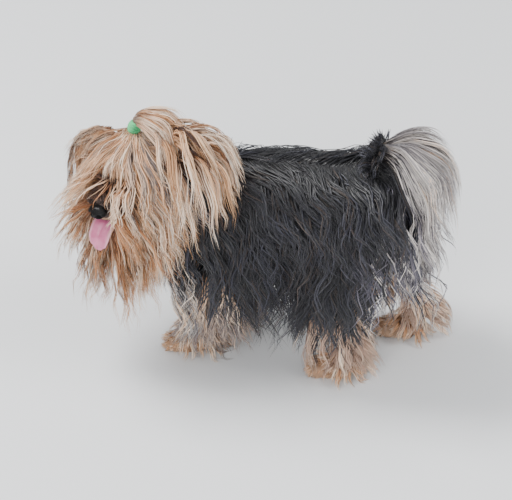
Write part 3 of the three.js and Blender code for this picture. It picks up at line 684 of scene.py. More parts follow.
for v in bm.verts:
    level = 1 - (v.co.z / TIE_HEIGHT) ** 2 * 1.1
    wound = Vector((v.co.x * level, v.co.y * level, v.co.z))
    v.co = to_frame(np.array(lean @ wound) + TIE + TIE_LEAN * TIE_RISE)
tie = new_piece("hair_elastic", bm)
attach(tie, "root")
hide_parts("hair_tie")
print("hair tie", len(tie.data.polygons), "faces")

# %% [markdown]
# ## Markings
# A Yorkshire terrier has a dark steel saddle and tan head, chest and legs. In this dog the saddle fades
# over slate grey hips to a silver rump, and the tail's plume is silver and cream. A painted picture would
# tie the pattern to one unwrap, so it is given by rules of place instead. Each palette holds a few hair
# colours, given as root and tip, with the share of locks that take them. The skin under the coat asks the
# same rules, so both carry one pattern.

# %% Palettes
# Share of locks, colour at the root, colour at the tip
PALETTES = {
    "steel": [
        (0.66, (13, 12, 16), (27, 26, 33)),
        (0.24, (22, 22, 28), (54, 54, 66)),
        (0.10, (28, 22, 20), (64, 52, 46)),
    ],
    "slate": [
        (0.6, (34, 33, 41), (82, 80, 93)),
        (0.4, (56, 53, 61), (118, 113, 124)),
    ],
    "silver": [
        (0.45, (160, 150, 144), (232, 224, 218)),
        (0.35, (116, 110, 112), (190, 182, 180)),
        (0.20, (58, 55, 62), (118, 112, 120)),
    ],
    "gold": [
        (0.46, (170, 112, 70), (236, 184, 138)),
        (0.36, (196, 142, 98), (246, 208, 170)),
        (0.18, (112, 68, 42), (182, 126, 82)),
    ],
    "cream": [
        (0.50, (214, 168, 132), (255, 226, 200)),
        (0.32, (228, 192, 162), (255, 236, 216)),
        (0.18, (184, 132, 96), (240, 198, 162)),
    ],
    "rust": [
        (0.50, (150, 88, 48), (212, 150, 100)),
        (0.32, (184, 124, 76), (244, 210, 176)),
        (0.18, (98, 54, 32), (168, 106, 64)),
    ],
    "sable": [
        (0.60, (36, 24, 21), (86, 58, 45)),
        (0.40, (66, 44, 35), (134, 94, 68)),
    ],
    "mauve": [
        (0.55, (112, 100, 98), (164, 148, 142)),
        (0.45, (146, 118, 100), (208, 180, 160)),
    ],
    "rose": [
        (0.55, (146, 114, 98), (198, 164, 144)),
        (0.45, (172, 132, 104), (224, 192, 170)),
    ],
}
PALETTE_NAMES = list(PALETTES)
print(len(PALETTES), "palettes")


# %% Where each palette grows
def linear(colour):
    """A colour of the screen as light."""
    c = np.asarray(colour, float) / 255
    return np.where(c <= 0.04045, c / 12.92, ((c + 0.055) / 1.055) ** 2.4)


PLAIN_PARTS = {
    "tuft": {"steel": 1.0},
    "muzzle": {"sable": 0.05, "rust": 0.8, "cream": 0.4},
    "jaw": {"rust": 0.9, "cream": 0.4},
    "ear": {"gold": 0.6, "sable": 0.35, "cream": 0.4},
    # The near ear's cup: its lining hair is all dark sable, painted shade of the ear's opening
    "cup": {"sable": 1.0},
    "topknot": {"cream": 0.6, "gold": 0.5},
}


def markings(part, p):
    """The weight of each palette at points p of a part of the body."""
    weights = dict.fromkeys(PALETTE_NAMES, 0.0)
    x, y, z = p.T
    ahead, left, up = ((p - SKULL) @ HEAD_AXES.T).T
    if part in PLAIN_PARTS:
        weights.update(PLAIN_PARTS[part])
    elif part == "torso":
        rear = smooth((y - 80) / 30) * smooth((BACK + 4 - z) / 30)
        rump = smooth((y - 106) / 24) * smooth((BACK - 6 - z) / 24)
        chest = smooth((-38 - y) / 26) * smooth((172 - z) / 30)
        weights["steel"] = (1 - 0.72 * rump) * (1 - 0.85 * chest) * (1 - 0.5 * rear)
        weights["slate"] = 0.5 * rear * (1 - 0.5 * rump)
        weights["silver"] = 0.72 * rump + 0.5 * chest
        weights["cream"] = 0.35 * chest
        weights["rose"] = 0.3 * smooth((118 - z) / 50)
    elif part == "neck":
        front = smooth((-66 - y) / 26)
        weights["steel"] = 1 - 0.9 * front
        weights["silver"] = 0.04 + 0.58 * front
        weights["cream"] = 0.45 * front
    elif part == "tail":
        plume = smooth((y - 113) / 6 + (z - BACK - 20) / 14 + 0.5)
        weights["steel"] = 1 - 0.94 * plume
        weights["cream"] = 0.25 * plume
        weights["silver"] = 0.8 * plume
    elif part == "skull":
        behind = smooth((-8 - ahead) / 18)
        low = smooth((-2 - up) / 14)
        weights["gold"] = (0.8 + 0.3 * low) * (1 - 0.6 * behind)
        weights["cream"] = (0.5 - 0.2 * low) * (1 - 0.7 * behind)
        weights["silver"] = 0.05 + 0.9 * smooth((4 - ahead) / 10) * (1 - behind)
        weights["steel"] = 0.45 * behind
        weights["sable"] = 0.06 + 0.2 * behind
        weights["mauve"] = 1.5 * np.exp(-(((ahead + 3) / 6) ** 2)) * (left > 0)
    elif part == "bridge":
        weights["sable"] = 1.0
        weights["rust"] = 0.3 * smooth((-14 - up) / 6)
    elif part == "fore":
        foot = smooth((44 - z) / 24)
        weights["steel"] = 1.2 * smooth((z - 92) / 30)
        weights["mauve"] = 0.9 * (1 - foot)
        weights["cream"] = 0.25
        weights["gold"] = 0.8 * foot
    else:
        foot = smooth((40 - z) / 24)
        thigh = smooth((z - 72) / 40) * (x > 0)
        weights["rose"] = 0.9 * (1 - foot) * (1 - 0.85 * thigh)
        weights["cream"] = 0.3 * (1 - thigh) + 0.8 * (x < 0)
        weights["steel"] = 1.1 * thigh
        weights["gold"] = 0.7 * foot
    return np.stack([weights[name] + 0 * x for name in PALETTE_NAMES], axis=1)


def choose(rows, seeds):
    """For each row of weights, the column that a seed from 0 to 1 falls in."""
    edges = np.cumsum(rows, axis=1)
    edges /= edges[:, -1:]
    return np.minimum((seeds[:, None] > edges).sum(axis=1), rows.shape[1] - 1)


def hair_colours(part, roots, lock_seed, strand_seed):
    """Root and tip colours of hairs: locks share a palette, and hairs in a lock differ a little."""
    palette = choose(markings(part, roots), (lock_seed * 0.75 + strand_seed * 0.25) % 1)
    first = np.zeros((len(roots), 3))
    last = np.zeros((len(roots), 3))
    for i, name in enumerate(PALETTE_NAMES):
        mine = palette == i
        if not mine.any():
            continue
        shares = np.array([[row[0] for row in PALETTES[name]]] * int(mine.sum()))
        row = choose(shares, (lock_seed[mine] * 7.3 + strand_seed[mine] * 0.5) % 1)
        first[mine] = linear([r[1] for r in PALETTES[name]])[row]
        last[mine] = linear([r[2] for r in PALETTES[name]])[row]
    light = mix(0.6, 1.16, strand_seed**0.7)[:, None]
    return first * light, last * light


print(len(PLAIN_PARTS), "parts of one mixture")

# %% [markdown]
# ## How a lock grows
# Long hair lies in locks, and a lock has one way for all its hairs. Blender's own hair would not be a mesh,
# so each lock is laid here as a guide: it starts on the skin along the lie of the coat, bends down as hair
# does under its own weight, and is pushed out wherever it would enter the body.

# %% Guides
GUIDE_STEPS = 14
GUIDE_STIFFNESS = 0.7


def scatter(t_range, turn_range, count):
    """Places spread evenly over a patch of a form, with some jitter."""
    span = abs(turn_range[1] - turn_range[0]) / 360
    columns = max(1, int(round(math.sqrt(count * span * 2.2 / max(t_range[1] - t_range[0], 0.2)))))
    rows = max(1, math.ceil(count / columns))
    row, column = np.divmod(np.arange(rows * columns), columns)
    t = (row + rng.random(rows * columns)) / rows
    turn = (column + rng.random(rows * columns)) / columns
    return mix(t_range[0], t_range[1], t), mix(turn_range[0], turn_range[1], turn)


def push_out(points, height):
    """Moves points so that each is at least a height outside the skin."""
    distance, way = skin_at(points)
    return points + way * np.maximum(height - distance, 0)[..., None]


def guide_paths(roots, normals, heading, lengths, droop, height):
    """Paths of guides, as rows of points from root to tip."""
    step = lengths / GUIDE_STEPS
    heading = unit(heading)
    place = roots.copy()
    path = [roots]
    for k in range(GUIDE_STEPS):
        heading = unit(heading + DOWN * (droop * step)[:, None])
        rise = height * smooth((k + 1) / GUIDE_STEPS * 3)
        ahead = push_out(place + heading * step[:, None], rise)
        heading = unit(mix(heading, unit(ahead - place), GUIDE_STIFFNESS))
        place = ahead
        path.append(place)
    return eased(np.stack(path, axis=1), 4)


def eased(paths, times):
    """Paths with their kinks smoothed out, ends kept."""
    for _ in range(times):
        paths[:, 1:-1] = paths[:, 1:-1] * 0.5 + (paths[:, :-2] + paths[:, 2:]) * 0.25
    return paths


def sample(paths, places):
    """Points on paths at places from 0 to 1, linearly between rows."""
    at = np.clip(places, 0, 1) * GUIDE_STEPS
    low = np.minimum(at.astype(int), GUIDE_STEPS - 1)
    share = (at - low)[..., None]
    index = np.arange(len(paths))[:, None]
    return paths[index, low] * (1 - share) + paths[index, low + 1] * share


print("a guide has", GUIDE_STEPS + 1, "points")

# %% [markdown]
# ## The hairs of a lock
# The hairs of a lock follow their guide, start apart on the skin, come together, and loosen again at the
# tip. They wave together in one plane, so that the lock reads as one. Near the edge of the solids' box
# hair slows down and bends, so that it stays inside the box. A hair that turns too sharply, or rises
# above its ceiling, is marked to be left out.

# %% Limits for hair
SHARPEST_BEND = 0.3
FLOOR_HEIGHT = 1.2
MARGIN = 4.0
BOX_LOW = np.array(cad_low) * 1000 - SHIFT - np.array([MARGIN, MARGIN, 0])
BOX_HIGH = np.array(cad_high) * 1000 - SHIFT + MARGIN


def held_in(points, zone=13.0):
    """Slows points down as they near the solids' box, so that hair bends there and isn't cut off."""
    over = np.maximum(points - (BOX_HIGH - zone), 0)
    under = np.maximum(BOX_LOW + zone - points, 0)
    under[..., 2] = 0
    points = points - over + zone * (1 - np.exp(-over / zone))
    return points + under - zone * (1 - np.exp(-under / zone))


def straightness(points, whole=False):
    """The smallest cosine between the steps of each path, or between its steps and its whole way."""
    steps = unit(np.diff(points, axis=1))
    if whole:
        return (steps * unit(points[:, -1] - points[:, 0])[:, None]).sum(axis=2).min(axis=1)
    return (steps[:, :-1] * steps[:, 1:]).sum(axis=2).min(axis=1)


print("hair stays between", BOX_LOW.round(1), "and", BOX_HIGH.round(1))


# %% Hairs of a lock
def lock_hairs(guides, roots, normals, own_roots, spec):
    """Spine points of all hairs, the seeds of lock and hair, and how smoothly each hair runs."""
    per = spec["per"]
    count = len(guides) * per
    lock = np.repeat(np.arange(len(guides)), per)
    lock_seed = rng.random(len(guides))[lock]
    strand_seed = rng.random(count)
    rings = spec["rings"]
    s = np.linspace(0, 1, rings + 1)
    reach = mix(0.72, 1.08, rng.random(count))
    base = sample(guides[lock], s[None, :] * np.minimum(reach, 1)[:, None])
    offset = own_roots - roots[lock]
    gather = spec["gather"]
    spread = offset[:, None, :] * (1 - gather * s**0.8)[None, :, None]
    low, high = spec["height"]
    layer = mix(low, high, strand_seed)[:, None] * smooth(s * 4)[None, :]
    points = eased(push_out(base + spread, layer), 4)
    smoothness = straightness(points)
    smoothness[straightness(points, True) < spec["flow"]] = 0
    flat = unit(np.cross(points[:, -1] - points[:, 0], normals[lock]))[:, None]
    amplitude, wavelength = spec["wave"]
    drift = roots[lock] @ np.array([0.05, 0.06, 0.06])
    phase = drift + (lock_seed - 0.5) * 1.7 + strand_seed * 0.3
    length = np.linalg.norm(np.diff(points, axis=1), axis=2).sum(axis=1)
    turn = s[None, :] * (length / wavelength)[:, None] * math.pi * 2 + phase[:, None]
    swell = smooth(s * 2.5) + spec["curl"] * smooth((s - 0.55) / 0.45)
    strength = amplitude * mix(0.6, 1.3, lock_seed)[:, None] * swell[None, :]
    points = points + flat * (np.sin(turn) * strength)[..., None]
    stray = rng.normal(size=(count, 3)) * spec["stray"]
    points = points + stray[:, None, :] * (s**1.6)[None, :, None]
    points = held_in(points + eased(push_out(points, layer * 0.5 - 0.3) - points, 2))
    points[..., 2] = np.maximum(points[..., 2], FLOOR_HEIGHT - SHIFT[2])
    smoothness[straightness(points) < SHARPEST_BEND] = 0
    smoothness[points[..., 2].max(axis=1) > spec["ceiling"]] = 0
    return points, lock_seed, strand_seed, smoothness


print("a hair may bend to a cosine of", SHARPEST_BEND)

# %% [markdown]
# ## From a line to a blade
# Each hair of the model stands for several real ones. It is a thin closed blade with a ridge, wide near the
# root and ending in a point, so it catches the light along its length. A curve with a bevel would do the
# same for one hair. For tens of thousands, an operator called for each would take many minutes, so here,
# and only here, the rings of all blades are worked out at once and joined by one pattern of faces.


# %% Blades
def blades(points, width, thick):
    """Vertices of closed blades around spines: left edge, right edge and ridge of each ring, then a tip."""
    count, rows, _ = points.shape
    rings = rows - 1
    s = np.linspace(0, 1, rows)[:-1]
    along = unit(np.gradient(points, axis=1))[:, :-1]
    _, way = skin_at(points[:, :-1])
    side = unit(np.cross(along, way))
    ridge = unit(np.cross(side, along))
    profile = (0.55 + 0.45 * smooth(s * 5)) * np.maximum(1 - s, 0.02) ** 0.6
    half = (width[:, None] * profile[None, :] / 2)[..., None]
    rise = (thick[:, None] * profile[None, :])[..., None]
    left = points[:, :-1] - side * half
    right = points[:, :-1] + side * half
    top = points[:, :-1] + ridge * rise
    body = np.stack([left, right, top], axis=2).reshape(count, rings * 3, 3)
    return np.concatenate([body, points[:, -1:]], axis=1)


def blade_faces(rings):
    """The faces of one blade, as corner numbers, and the size of each face."""
    corners, sizes = [2, 1, 0], [3]
    for i in range(rings - 1):
        for k in range(3):
            a, b = i * 3 + k, i * 3 + (k + 1) % 3
            corners += [a, b, b + 3, a + 3]
            sizes.append(4)
    for k in range(3):
        corners += [(rings - 1) * 3 + k, (rings - 1) * 3 + (k + 1) % 3, rings * 3]
        sizes.append(3)
    return np.array(corners), np.array(sizes)


def hairs(spec, paths, roots, normals, own_roots, part, width):
    """A batch of finished blades with their colours."""
    points, lock_seed, strand_seed, smoothness = lock_hairs(paths, roots, normals, own_roots, spec)
    first, last = hair_colours(part, own_roots, lock_seed, strand_seed)
    wide = width * mix(0.7, 1.25, rng.random(len(points)))
    body = np.clip(blades(points, wide, wide * 0.3), BOX_LOW, BOX_HIGH)
    return dict(points=body, first=first, last=last, seed=strand_seed, bend=smoothness)


print("a blade of 8 rings has", len(blade_faces(8)[1]), "faces")

# %% [markdown]
# ## A piece of coat
# Many blades are joined into one mesh, because thousands of separate objects would be slow to handle. Each
# point keeps its hair's colour, and its place across and along the hair, for the finish to read. Its patch
# on the unwrap is tiny and lies at its root's place on the body: each form has a strip of the square, along
# which the turn round the form runs, and the way along the form runs up.

# %% A piece of coat from many blades
UV_PATCH = 0.003
coat = []


def coat_piece(name, batches, nodes):
    """Joins batches of blades into one mesh with its colours, hair places and patches."""
    verts, corners, sizes, tones, strands, uvs = [], [], [], [], [], []
    strips = np.unique(np.concatenate([batch["form"] for batch in batches]))
    start = 0
    for batch in batches:
        points = batch["points"]
        count, per, _ = points.shape
        rings = (per - 1) // 3
        face, size = blade_faces(rings)
        verts.append(points.reshape(-1, 3))
        corners.append((face[None, :] + (start + np.arange(count) * per)[:, None]).ravel())
        sizes.append(np.tile(size, count))
        start += count * per
        along = np.append(np.repeat(np.linspace(0, 1, rings + 1)[:-1], 3), 1.0)
        across = np.append(np.tile([0.0, 1.0, 0.5], rings), 0.5)
        fade = smooth(along * 1.15)[None, :, None]
        tones.append((batch["first"][:, None] * (1 - fade) + batch["last"][:, None] * fade).reshape(-1, 3))
        row = np.empty((count, per, 3))
        row[..., 0] = across[None, :]
        row[..., 1] = along[None, :]
        row[..., 2] = batch["seed"][:, None]
        strands.append(row.reshape(-1, 3))
        strip = np.searchsorted(strips, batch["form"])
        place = np.stack([(strip + batch["patch"][:, 0]) / len(strips), batch["patch"][:, 1]], axis=1)
        place = place[:, None] * (1 - UV_PATCH) + np.stack([across, along], axis=1)[None] * UV_PATCH
        uvs.append(place.reshape(-1, 2))
    verts, corners, sizes = np.concatenate(verts), np.concatenate(corners), np.concatenate(sizes)
    mesh = bpy.data.meshes.new(name)
    mesh.vertices.add(len(verts))
    mesh.vertices.foreach_set("co", to_frame(verts).astype(np.float32).ravel())
    mesh.loops.add(len(corners))
    mesh.loops.foreach_set("vertex_index", corners.astype(np.int32))
    mesh.polygons.add(len(sizes))
    starts = np.concatenate([[0], np.cumsum(sizes)[:-1]]).astype(np.int32)
    mesh.polygons.foreach_set("loop_start", starts)
    mesh.polygons.foreach_set("use_smooth", np.ones(len(sizes), bool))
    tone = mesh.attributes.new("tone", "FLOAT_COLOR", "POINT")
    colours = np.concatenate([np.concatenate(tones), np.ones((len(verts), 1))], axis=1)
    tone.data.foreach_set("color", colours.astype(np.float32).ravel())
    hair = mesh.attributes.new("strand", "FLOAT_VECTOR", "POINT")
    hair.data.foreach_set("vector", np.concatenate(strands).astype(np.float32).ravel())
    layer = mesh.uv_layers.new(name="OFBake")
    layer.data.foreach_set("uv", np.concatenate(uvs)[corners].astype(np.float32).ravel())
    mesh.update()
    mesh.validate()
    piece = bpy.data.objects.new(name, mesh)
    bpy.context.scene.collection.objects.link(piece)
    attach(piece, "root")
    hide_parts(*nodes)
    coat.append(piece)
    triangles = int((sizes - 2).sum())
    print(name, sum(len(batch["points"]) for batch in batches), "hairs", triangles, "triangles")


# %% [markdown]
# ## Combing a patch
# One call of `comb` covers a patch of a form. `t` runs along the form from 0 to 1 and past that over its
# rounded ends, and `turn` runs round it in degrees from its top. `guides` is the number of locks, `per` the
# hairs in each, and `lie` gives each lock its heading. `length`, the `height` over the skin and the `wave`,
# its swing and its length, are in millimetres. `rings` says how finely a hair is cut, `spread` how far apart
# a lock's hairs start, and `gather` how much they come together. `stray` and `curl` loosen the tips, `flow`
# leaves out hairs that wander from their own way, and `aim` draws all of them to one point. A hair whose
# root lies inside another form, or that kinks, is left out too.

# %% Combing a patch of a form
DEEPEST_ROOT = -2.5
LEAST_SMOOTH = 0.8


def comb(form, part, t, turn, guides, per, length, lie, droop=0.012, height=(0.6, 6), wave=(0.8, 30),
         gather=0.75, width=1.6, rings=8, stray=1.0, spread=7.0, curl=0.6, flow=0.15,
         ceiling=math.inf, aim=None):
    """Hairs on one patch of a form."""
    spec = dict(per=per, height=height, wave=wave, gather=gather, rings=rings, stray=stray, curl=curl,
                flow=flow, ceiling=ceiling)
    t_at, turn_at = scatter(t, turn, guides)
    roots, normals = surface(form, t_at, turn_at)
    heading = lie(t_at, turn_at, normals)
    lengths = mix(length[0], length[1], rng.random(len(roots)))
    layer = mix(height[0], height[1], rng.random(len(roots)))
    if aim is None:
        paths = guide_paths(roots, normals, heading, lengths, droop, layer)
    else:
        s = np.linspace(0, 1, GUIDE_STEPS + 1)[None, :, None]
        middle = roots + normals * 9 + (aim - roots) * 0.35
        paths = (1 - s) ** 2 * roots[:, None] + 2 * s * (1 - s) * middle[:, None] + s**2 * aim
    lock = np.repeat(np.arange(len(roots)), per)
    size = np.mean(section(form, t_at[lock])[4])
    own_turn = turn_at[lock] + rng.uniform(-1, 1, len(lock)) * np.degrees(spread / size)
    own_t = t_at[lock] + rng.uniform(-1, 1, len(lock)) * spread / forms[form]["length"]
    own_t = np.clip(own_t, -1, 2)
    own_roots, _ = surface(form, own_t, own_turn)
    batch = hairs(spec, paths, roots, normals, own_roots, part, width)
    batch["patch"] = np.stack([(own_turn / 360) % 1, (own_t + 1) / 3], axis=1)
    batch["form"] = np.full(len(lock), list(forms).index(form))
    buried, _ = skin_at(own_roots)
    keep = (buried > DEEPEST_ROOT) & (batch["bend"] > LEAST_SMOOTH)
    return {key: value[keep] for key, value in batch.items()}


print("coat tools ready")

# %% [markdown]
# ## Coat of back and flanks
# Over the back the hair parts along the spine and falls to both sides in long loose waves. Its lie could be
# painted lock by lock, but it changes slowly from back to flank to belly, so a few values at turns round
# the body are enough: how far it points out, back and down. A first layer of short hair hides the skin.

# %% Lie of the body's hair
LIE_TURNS = [0, 9, 56, 98, 180]
LIE_OUT = [0.55, 0.75, 0.5, 0.1, 0.02]
LIE_BACK = [0.85, 0.8, 0.45, 0.25, 0.2]
LIE_DOWN = [0.0, 0.0, 0.7, 1.0, 1.0]
FAR_SHARE = 0.75


def strewn(lie, amount):
    """A lie with a little chance in it, so that no two locks are alike."""
    return lie + rng.normal(size=lie.shape) * amount


def body_lie(t, turn, normals):
    away = np.abs(turn)
    side = np.sign(turn)
    out = np.interp(away, LIE_TURNS, LIE_OUT) * side
    back = np.interp(away, LIE_TURNS, LIE_BACK) * (1 - 0.85 * smooth((t - 0.35) / 0.55))
    down = np.interp(away, LIE_TURNS, LIE_DOWN)
    lie = strewn(np.stack([out, back, -down], axis=1), 0.08)
    lift = mix(0.1, 0.25, smooth(away / 50))
    return unit(lie) + normals * lift[:, None]


print("the lie of the body's hair is given at turns", LIE_TURNS)

# %% Back and flanks
LOOSE = dict(
    wave=(4.8, 48), width=2.1, rings=9, spread=9, gather=0.88, curl=0.7, stray=0.6, flow=0.5,
    ceiling=BACK + 8,
)
for name, side in SIDES.items():
    share = 1 if side > 0 else FAR_SHARE
    upper = [
        comb("torso", "torso", t=(-0.3, 1.4), turn=(side * -4, side * 60), guides=int(110 * share), per=8,
             length=(18, 30), lie=body_lie, height=(0.2, 1.6), wave=(0.6, 20), width=2.2, rings=4,
             spread=9, stray=0.6),
        comb("torso", "torso", t=(-0.15, 1.1), turn=(side, side * 34), guides=int(140 * share), per=10,
             length=(76, 104), lie=body_lie, height=(0.4, 4.5),
             **dict(LOOSE, wave=(3.4, 48), ceiling=BACK + 6)),
        comb("torso", "torso", t=(-0.3, 1.04), turn=(side * 30, side * 78), guides=int(136 * share),
             per=10, length=(76, 100), lie=body_lie, height=(1, 8), **LOOSE),
    ]
    coat_piece(f"coat_back_{name}", upper, ["torso"])
    lower = [
        comb("torso", "torso", t=(-0.4, 1.04), turn=(side * 72, side * 118), guides=int(170 * share),
             per=10, length=(94, 124), lie=body_lie, height=(1, 9), **LOOSE),
        comb("torso", "torso", t=(-0.3, 1.0), turn=(side * 112, side * 178), guides=int(140 * share),
             per=9, length=(80, 110), lie=body_lie, height=(0.6, 6), wave=(3.5, 40), width=2.0, rings=7,
             spread=10, stray=0.7),
    ]
    coat_piece(f"coat_flank_{name}", lower, ["torso"])

# %% [markdown]
# ## Neck, chest and rump
# The mane of the neck falls back and out over the shoulders, the chest's hair hangs in front, and the rump
# is combed straight down. They are pieces of their own, because their length and lie differ.


# %% Neck and chest
def neck_lie(t, turn, normals):
    lie = np.outer(np.sin(np.radians(turn)) * 0.6, vec(1, 0, 0)) + vec(0, 0.55, -0.75)
    return strewn(lie + normals * 0.1, 0.1)


def chest_lie(t, turn, normals):
    return strewn(normals * 0.3 + DOWN, 0.12)


neck = [
    comb("neck", "neck", t=(0.1, 0.95), turn=(-180, 180), guides=160, per=9, length=(56, 78),
         lie=neck_lie, droop=0.03, height=(1, 7), flow=0.45, ceiling=BACK + 12, wave=(2.5, 40), width=1.8,
         rings=7, spread=8),
    comb("torso", "torso", t=(-0.95, -0.1), turn=(-180, 180), guides=110, per=9, length=(52, 74),
         lie=chest_lie, height=(1, 8), flow=0.5, wave=(2.8, 40), width=1.7, rings=8, spread=9, stray=0.8),
]
coat_piece("coat_neck", neck, ["neck", "torso"])


# %% Rump
def rump_lie(t, turn, normals):
    return strewn(normals * 0.1 + DOWN * 1.1, 0.1)


rump = [
    comb("torso", "torso", t=(1.0, 1.95), turn=(-150, 150), guides=130, per=10, length=(56, 84),
         lie=rump_lie, height=(1, 6), flow=0.6, wave=(2.6, 40), width=1.5, rings=8, spread=8, stray=0.7),
]
coat_piece("coat_rump", rump, ["torso"])

# %% [markdown]
# ## The tail's plume
# The tail stands up and its long hair rises, arches over behind and hangs. Hair that starts upward and
# droops strongly takes that arc by itself. A tuft of short dark hair stands at the tail's root.


# %% Tail
def plume_lie(t, turn, normals):
    rise = mix(0.3, 0.72, smooth(t - 0.4))
    lie = np.stack([normals[:, 0] * 0.55, 0.62 + normals[:, 1] * 0.22, rise], axis=1)
    return strewn(lie, 0.08)


def tuft_lie(t, turn, normals):
    return strewn(normals * 0.6 + vec(0, 0.25, 0.35), 0.12)


tail = [
    comb("tail", "tail", t=(0.7, 1.8), turn=(-215, 35), guides=100, per=10, length=(84, 132),
         lie=plume_lie, droop=0.031, height=(0, 8), wave=(1.6, 50), gather=0.5, width=1.3, rings=10,
         spread=5, stray=2, curl=1.4, flow=-1),
    comb("tail", "tail", t=(0.3, 0.9), turn=(-215, 35), guides=45, per=10, length=(56, 84), lie=plume_lie,
         droop=0.036, height=(0, 6), wave=(1.8, 42), gather=0.5, width=1.2, rings=9, spread=5, stray=1.2,
         flow=-1),
    comb("tail", "tuft", t=(0.1, 1.3), turn=(20, 160), guides=60, per=10, length=(12, 19), lie=tuft_lie,
         droop=0.07, height=(0, 3), wave=(1.2, 22), gather=0.6, width=1.4, rings=6, spread=5, stray=1,
         flow=-0.5),
]
coat_piece("coat_tail", tail, ["tail"])

# %% [markdown]
# ## Coat of legs and feet
# Leg hair falls in three tiers, like tiles on a roof, and hides the foot almost to the toes. Behind each leg
# hangs a longer feather, which the far hind leg flicks back as it steps.

# %% Leg coat
for leg, (side, _, fore) in LEG_PLANS.items():
    part = "fore" if fore else "hind"
    sweep = 0.6 if fore else 0.25

    def leg_lie(t, turn, normals):
        behind = np.clip(normals[:, 1], 0, 1)
        return strewn(normals * 0.38 + DOWN + np.outer(0.1 + sweep * behind, vec(0, 1, 0)), 0.1)

    top = 0.22 if fore else 0.16
    long = 1 if fore else 1.3
    batches = [
        comb(f"leg_{leg}", part, t=(top, 0.5), turn=(-180, 180), guides=int(62 * long), per=9,
             length=(42 * long, 60 * long), lie=leg_lie, height=(0.8, 7), flow=0.5, wave=(2.4, 38),
             width=1.7, rings=7, spread=6, stray=0.7),
        comb(f"leg_{leg}", part, t=(0.45, 0.78), turn=(-180, 180), guides=46, per=9, length=(34, 46),
             lie=leg_lie, height=(0.8, 6), flow=0.5, wave=(2.0, 32), width=1.5, rings=6, spread=5,
             stray=0.7),
        comb(f"leg_{leg}", part, t=(0.74, 1.15), turn=(-180, 180), guides=44, per=9, length=(18, 28),
             lie=leg_lie, height=(0.8, 4), wave=(1.2, 22), width=1.4, rings=5, spread=4),
    ]
    swing = vec(0, 0.55, 0) if fore else vec(0, 1.1 if side < 0 else 0.3, 0.1)

    def feather_lie(t, turn, normals):
        return strewn(normals * 0.2 + DOWN + swing, 0.1)

    reach = (52, 74) if fore else (34, 52)
    batches.append(
        comb(f"leg_{leg}", part, t=(0.3 if fore else 0.5, 0.9), turn=(120, 240), guides=30, per=8,
             length=reach, lie=feather_lie, height=(0.8, 6), wave=(2.4, 38), width=1.6, rings=7, spread=5,
             stray=0.8)
    )
    coat_piece(f"coat_leg_{leg}", batches, [f"leg_{leg}", f"paw_{leg}"])

# %% [markdown]
# On the feet the hair is short and lies close, so that the toes and claws still show where the feathers
# part.


# %% Short coat of the feet
def foot_lie(t, turn, normals):
    return strewn(normals * 0.05 + vec(0, -0.6, -0.6), 0.1)


for leg, (_, _, fore) in LEG_PLANS.items():
    part = "fore" if fore else "hind"
    feet = [
        comb(f"paw_{leg}", part, t=(-0.2, 1.5), turn=(-128, 128), guides=110, per=8, length=(6, 10),
             lie=foot_lie, height=(0.1, 0.9), wave=(0.4, 14), width=0.8, rings=4, spread=3, stray=0.3),
    ]
    coat_piece(f"coat_foot_{leg}", feet, [f"paw_{leg}"])

# %% [markdown]
# ## Keeping nose and mouth clear
# Hair must not hang over the nose, the mouth or the tongue. Each place to keep clear is a block on the
# head, given as ranges forward, left and up, and a hair with any point inside one is left out. The bridge
# of the nose has a block of its own, for the longer hair that would cover it.

# %% Clear places on the head
MOUTH_ZONES = [
    ((40, 90), (-12.5, 12.5), (-34, -19)),
    ((49, 90), (-12.5, 12.5), (-58, -34)),
    ((49, 90), (-9.5, 9.5), (-22, -3)),
]
BRIDGE_ZONES = [
    ((30, 90), (-10.5, 10.5), (-22, 12)),
]


def within(head, zone):
    """Which places on the head lie inside a zone."""
    inside = np.ones(head.shape[:-1], bool)
    for axis, (low, high) in enumerate(zone):
        inside &= (head[..., axis] > low) & (head[..., axis] < high)
    return inside


def clear(batch, zones=()):
    """Leaves out hairs that would hang over the nose, the mouth or the tongue."""
    head = (batch["points"] - SKULL) @ HEAD_AXES.T
    keep = np.ones(len(head), bool)
    for zone in [*MOUTH_ZONES, *zones]:
        keep &= ~within(head, zone).any(axis=1)
    return {key: value[keep] for key, value in batch.items()}


print(len(MOUTH_ZONES), "places kept clear at the mouth")

# %% [markdown]
# ## Lie of the head's hair
# The cheeks fan out and hang, the beard hangs straight, and the hair of the bridge lies back and apart. On
# a turned head it is easiest to say this in the head's own axes: how far hair points forward, out and up.

# %% Lie of the head's hair
CHEEK_PLACES = [0, 0.3, 0.5, 0.8, 1.0]
CHEEK_AHEAD = [-0.3, -0.15, 0.0, 0.15, 0.3]
CHEEK_TURNS = [30, 60, 80, 112, 150]
CHEEK_OUT = [0.6, 0.85, 0.7, 0.42, 0.25]
CHEEK_UP = [-0.35, -0.55, -0.85, -1.0, -1.0]
MUZZLE_TURNS = [45, 75, 110, 140]
MUZZLE_OUT = [1.0, 0.95, 0.3, 0.2]
MUZZLE_UP = [-0.4, -0.7, -1.0, -1.0]


def head_lie(normals, ahead, out, upward):
    """A heading on the head, given as forward, outward to the side and up."""
    side = np.sign(normals @ LEFT)
    lie = FORWARD * np.reshape(ahead, (-1, 1)) + LEFT * np.reshape(out * side, (-1, 1))
    lie = lie + TOP * np.reshape(upward, (-1, 1))
    return strewn(lie + normals * 0.2, 0.12)


def cheek_lie(t, turn, normals):
    away = np.abs(turn)
    ahead = np.interp(t, CHEEK_PLACES, CHEEK_AHEAD)
    out = np.interp(away, CHEEK_TURNS, CHEEK_OUT)
    return head_lie(normals, ahead, out, np.interp(away, CHEEK_TURNS, CHEEK_UP))


def muzzle_lie(t, turn, normals):
    away = np.abs(turn)
    out = np.interp(away, MUZZLE_TURNS, MUZZLE_OUT)
    upward = np.interp(away, MUZZLE_TURNS, MUZZLE_UP)
    return head_lie(normals, mix(0.2, 0.45, smooth(t)), out, upward)


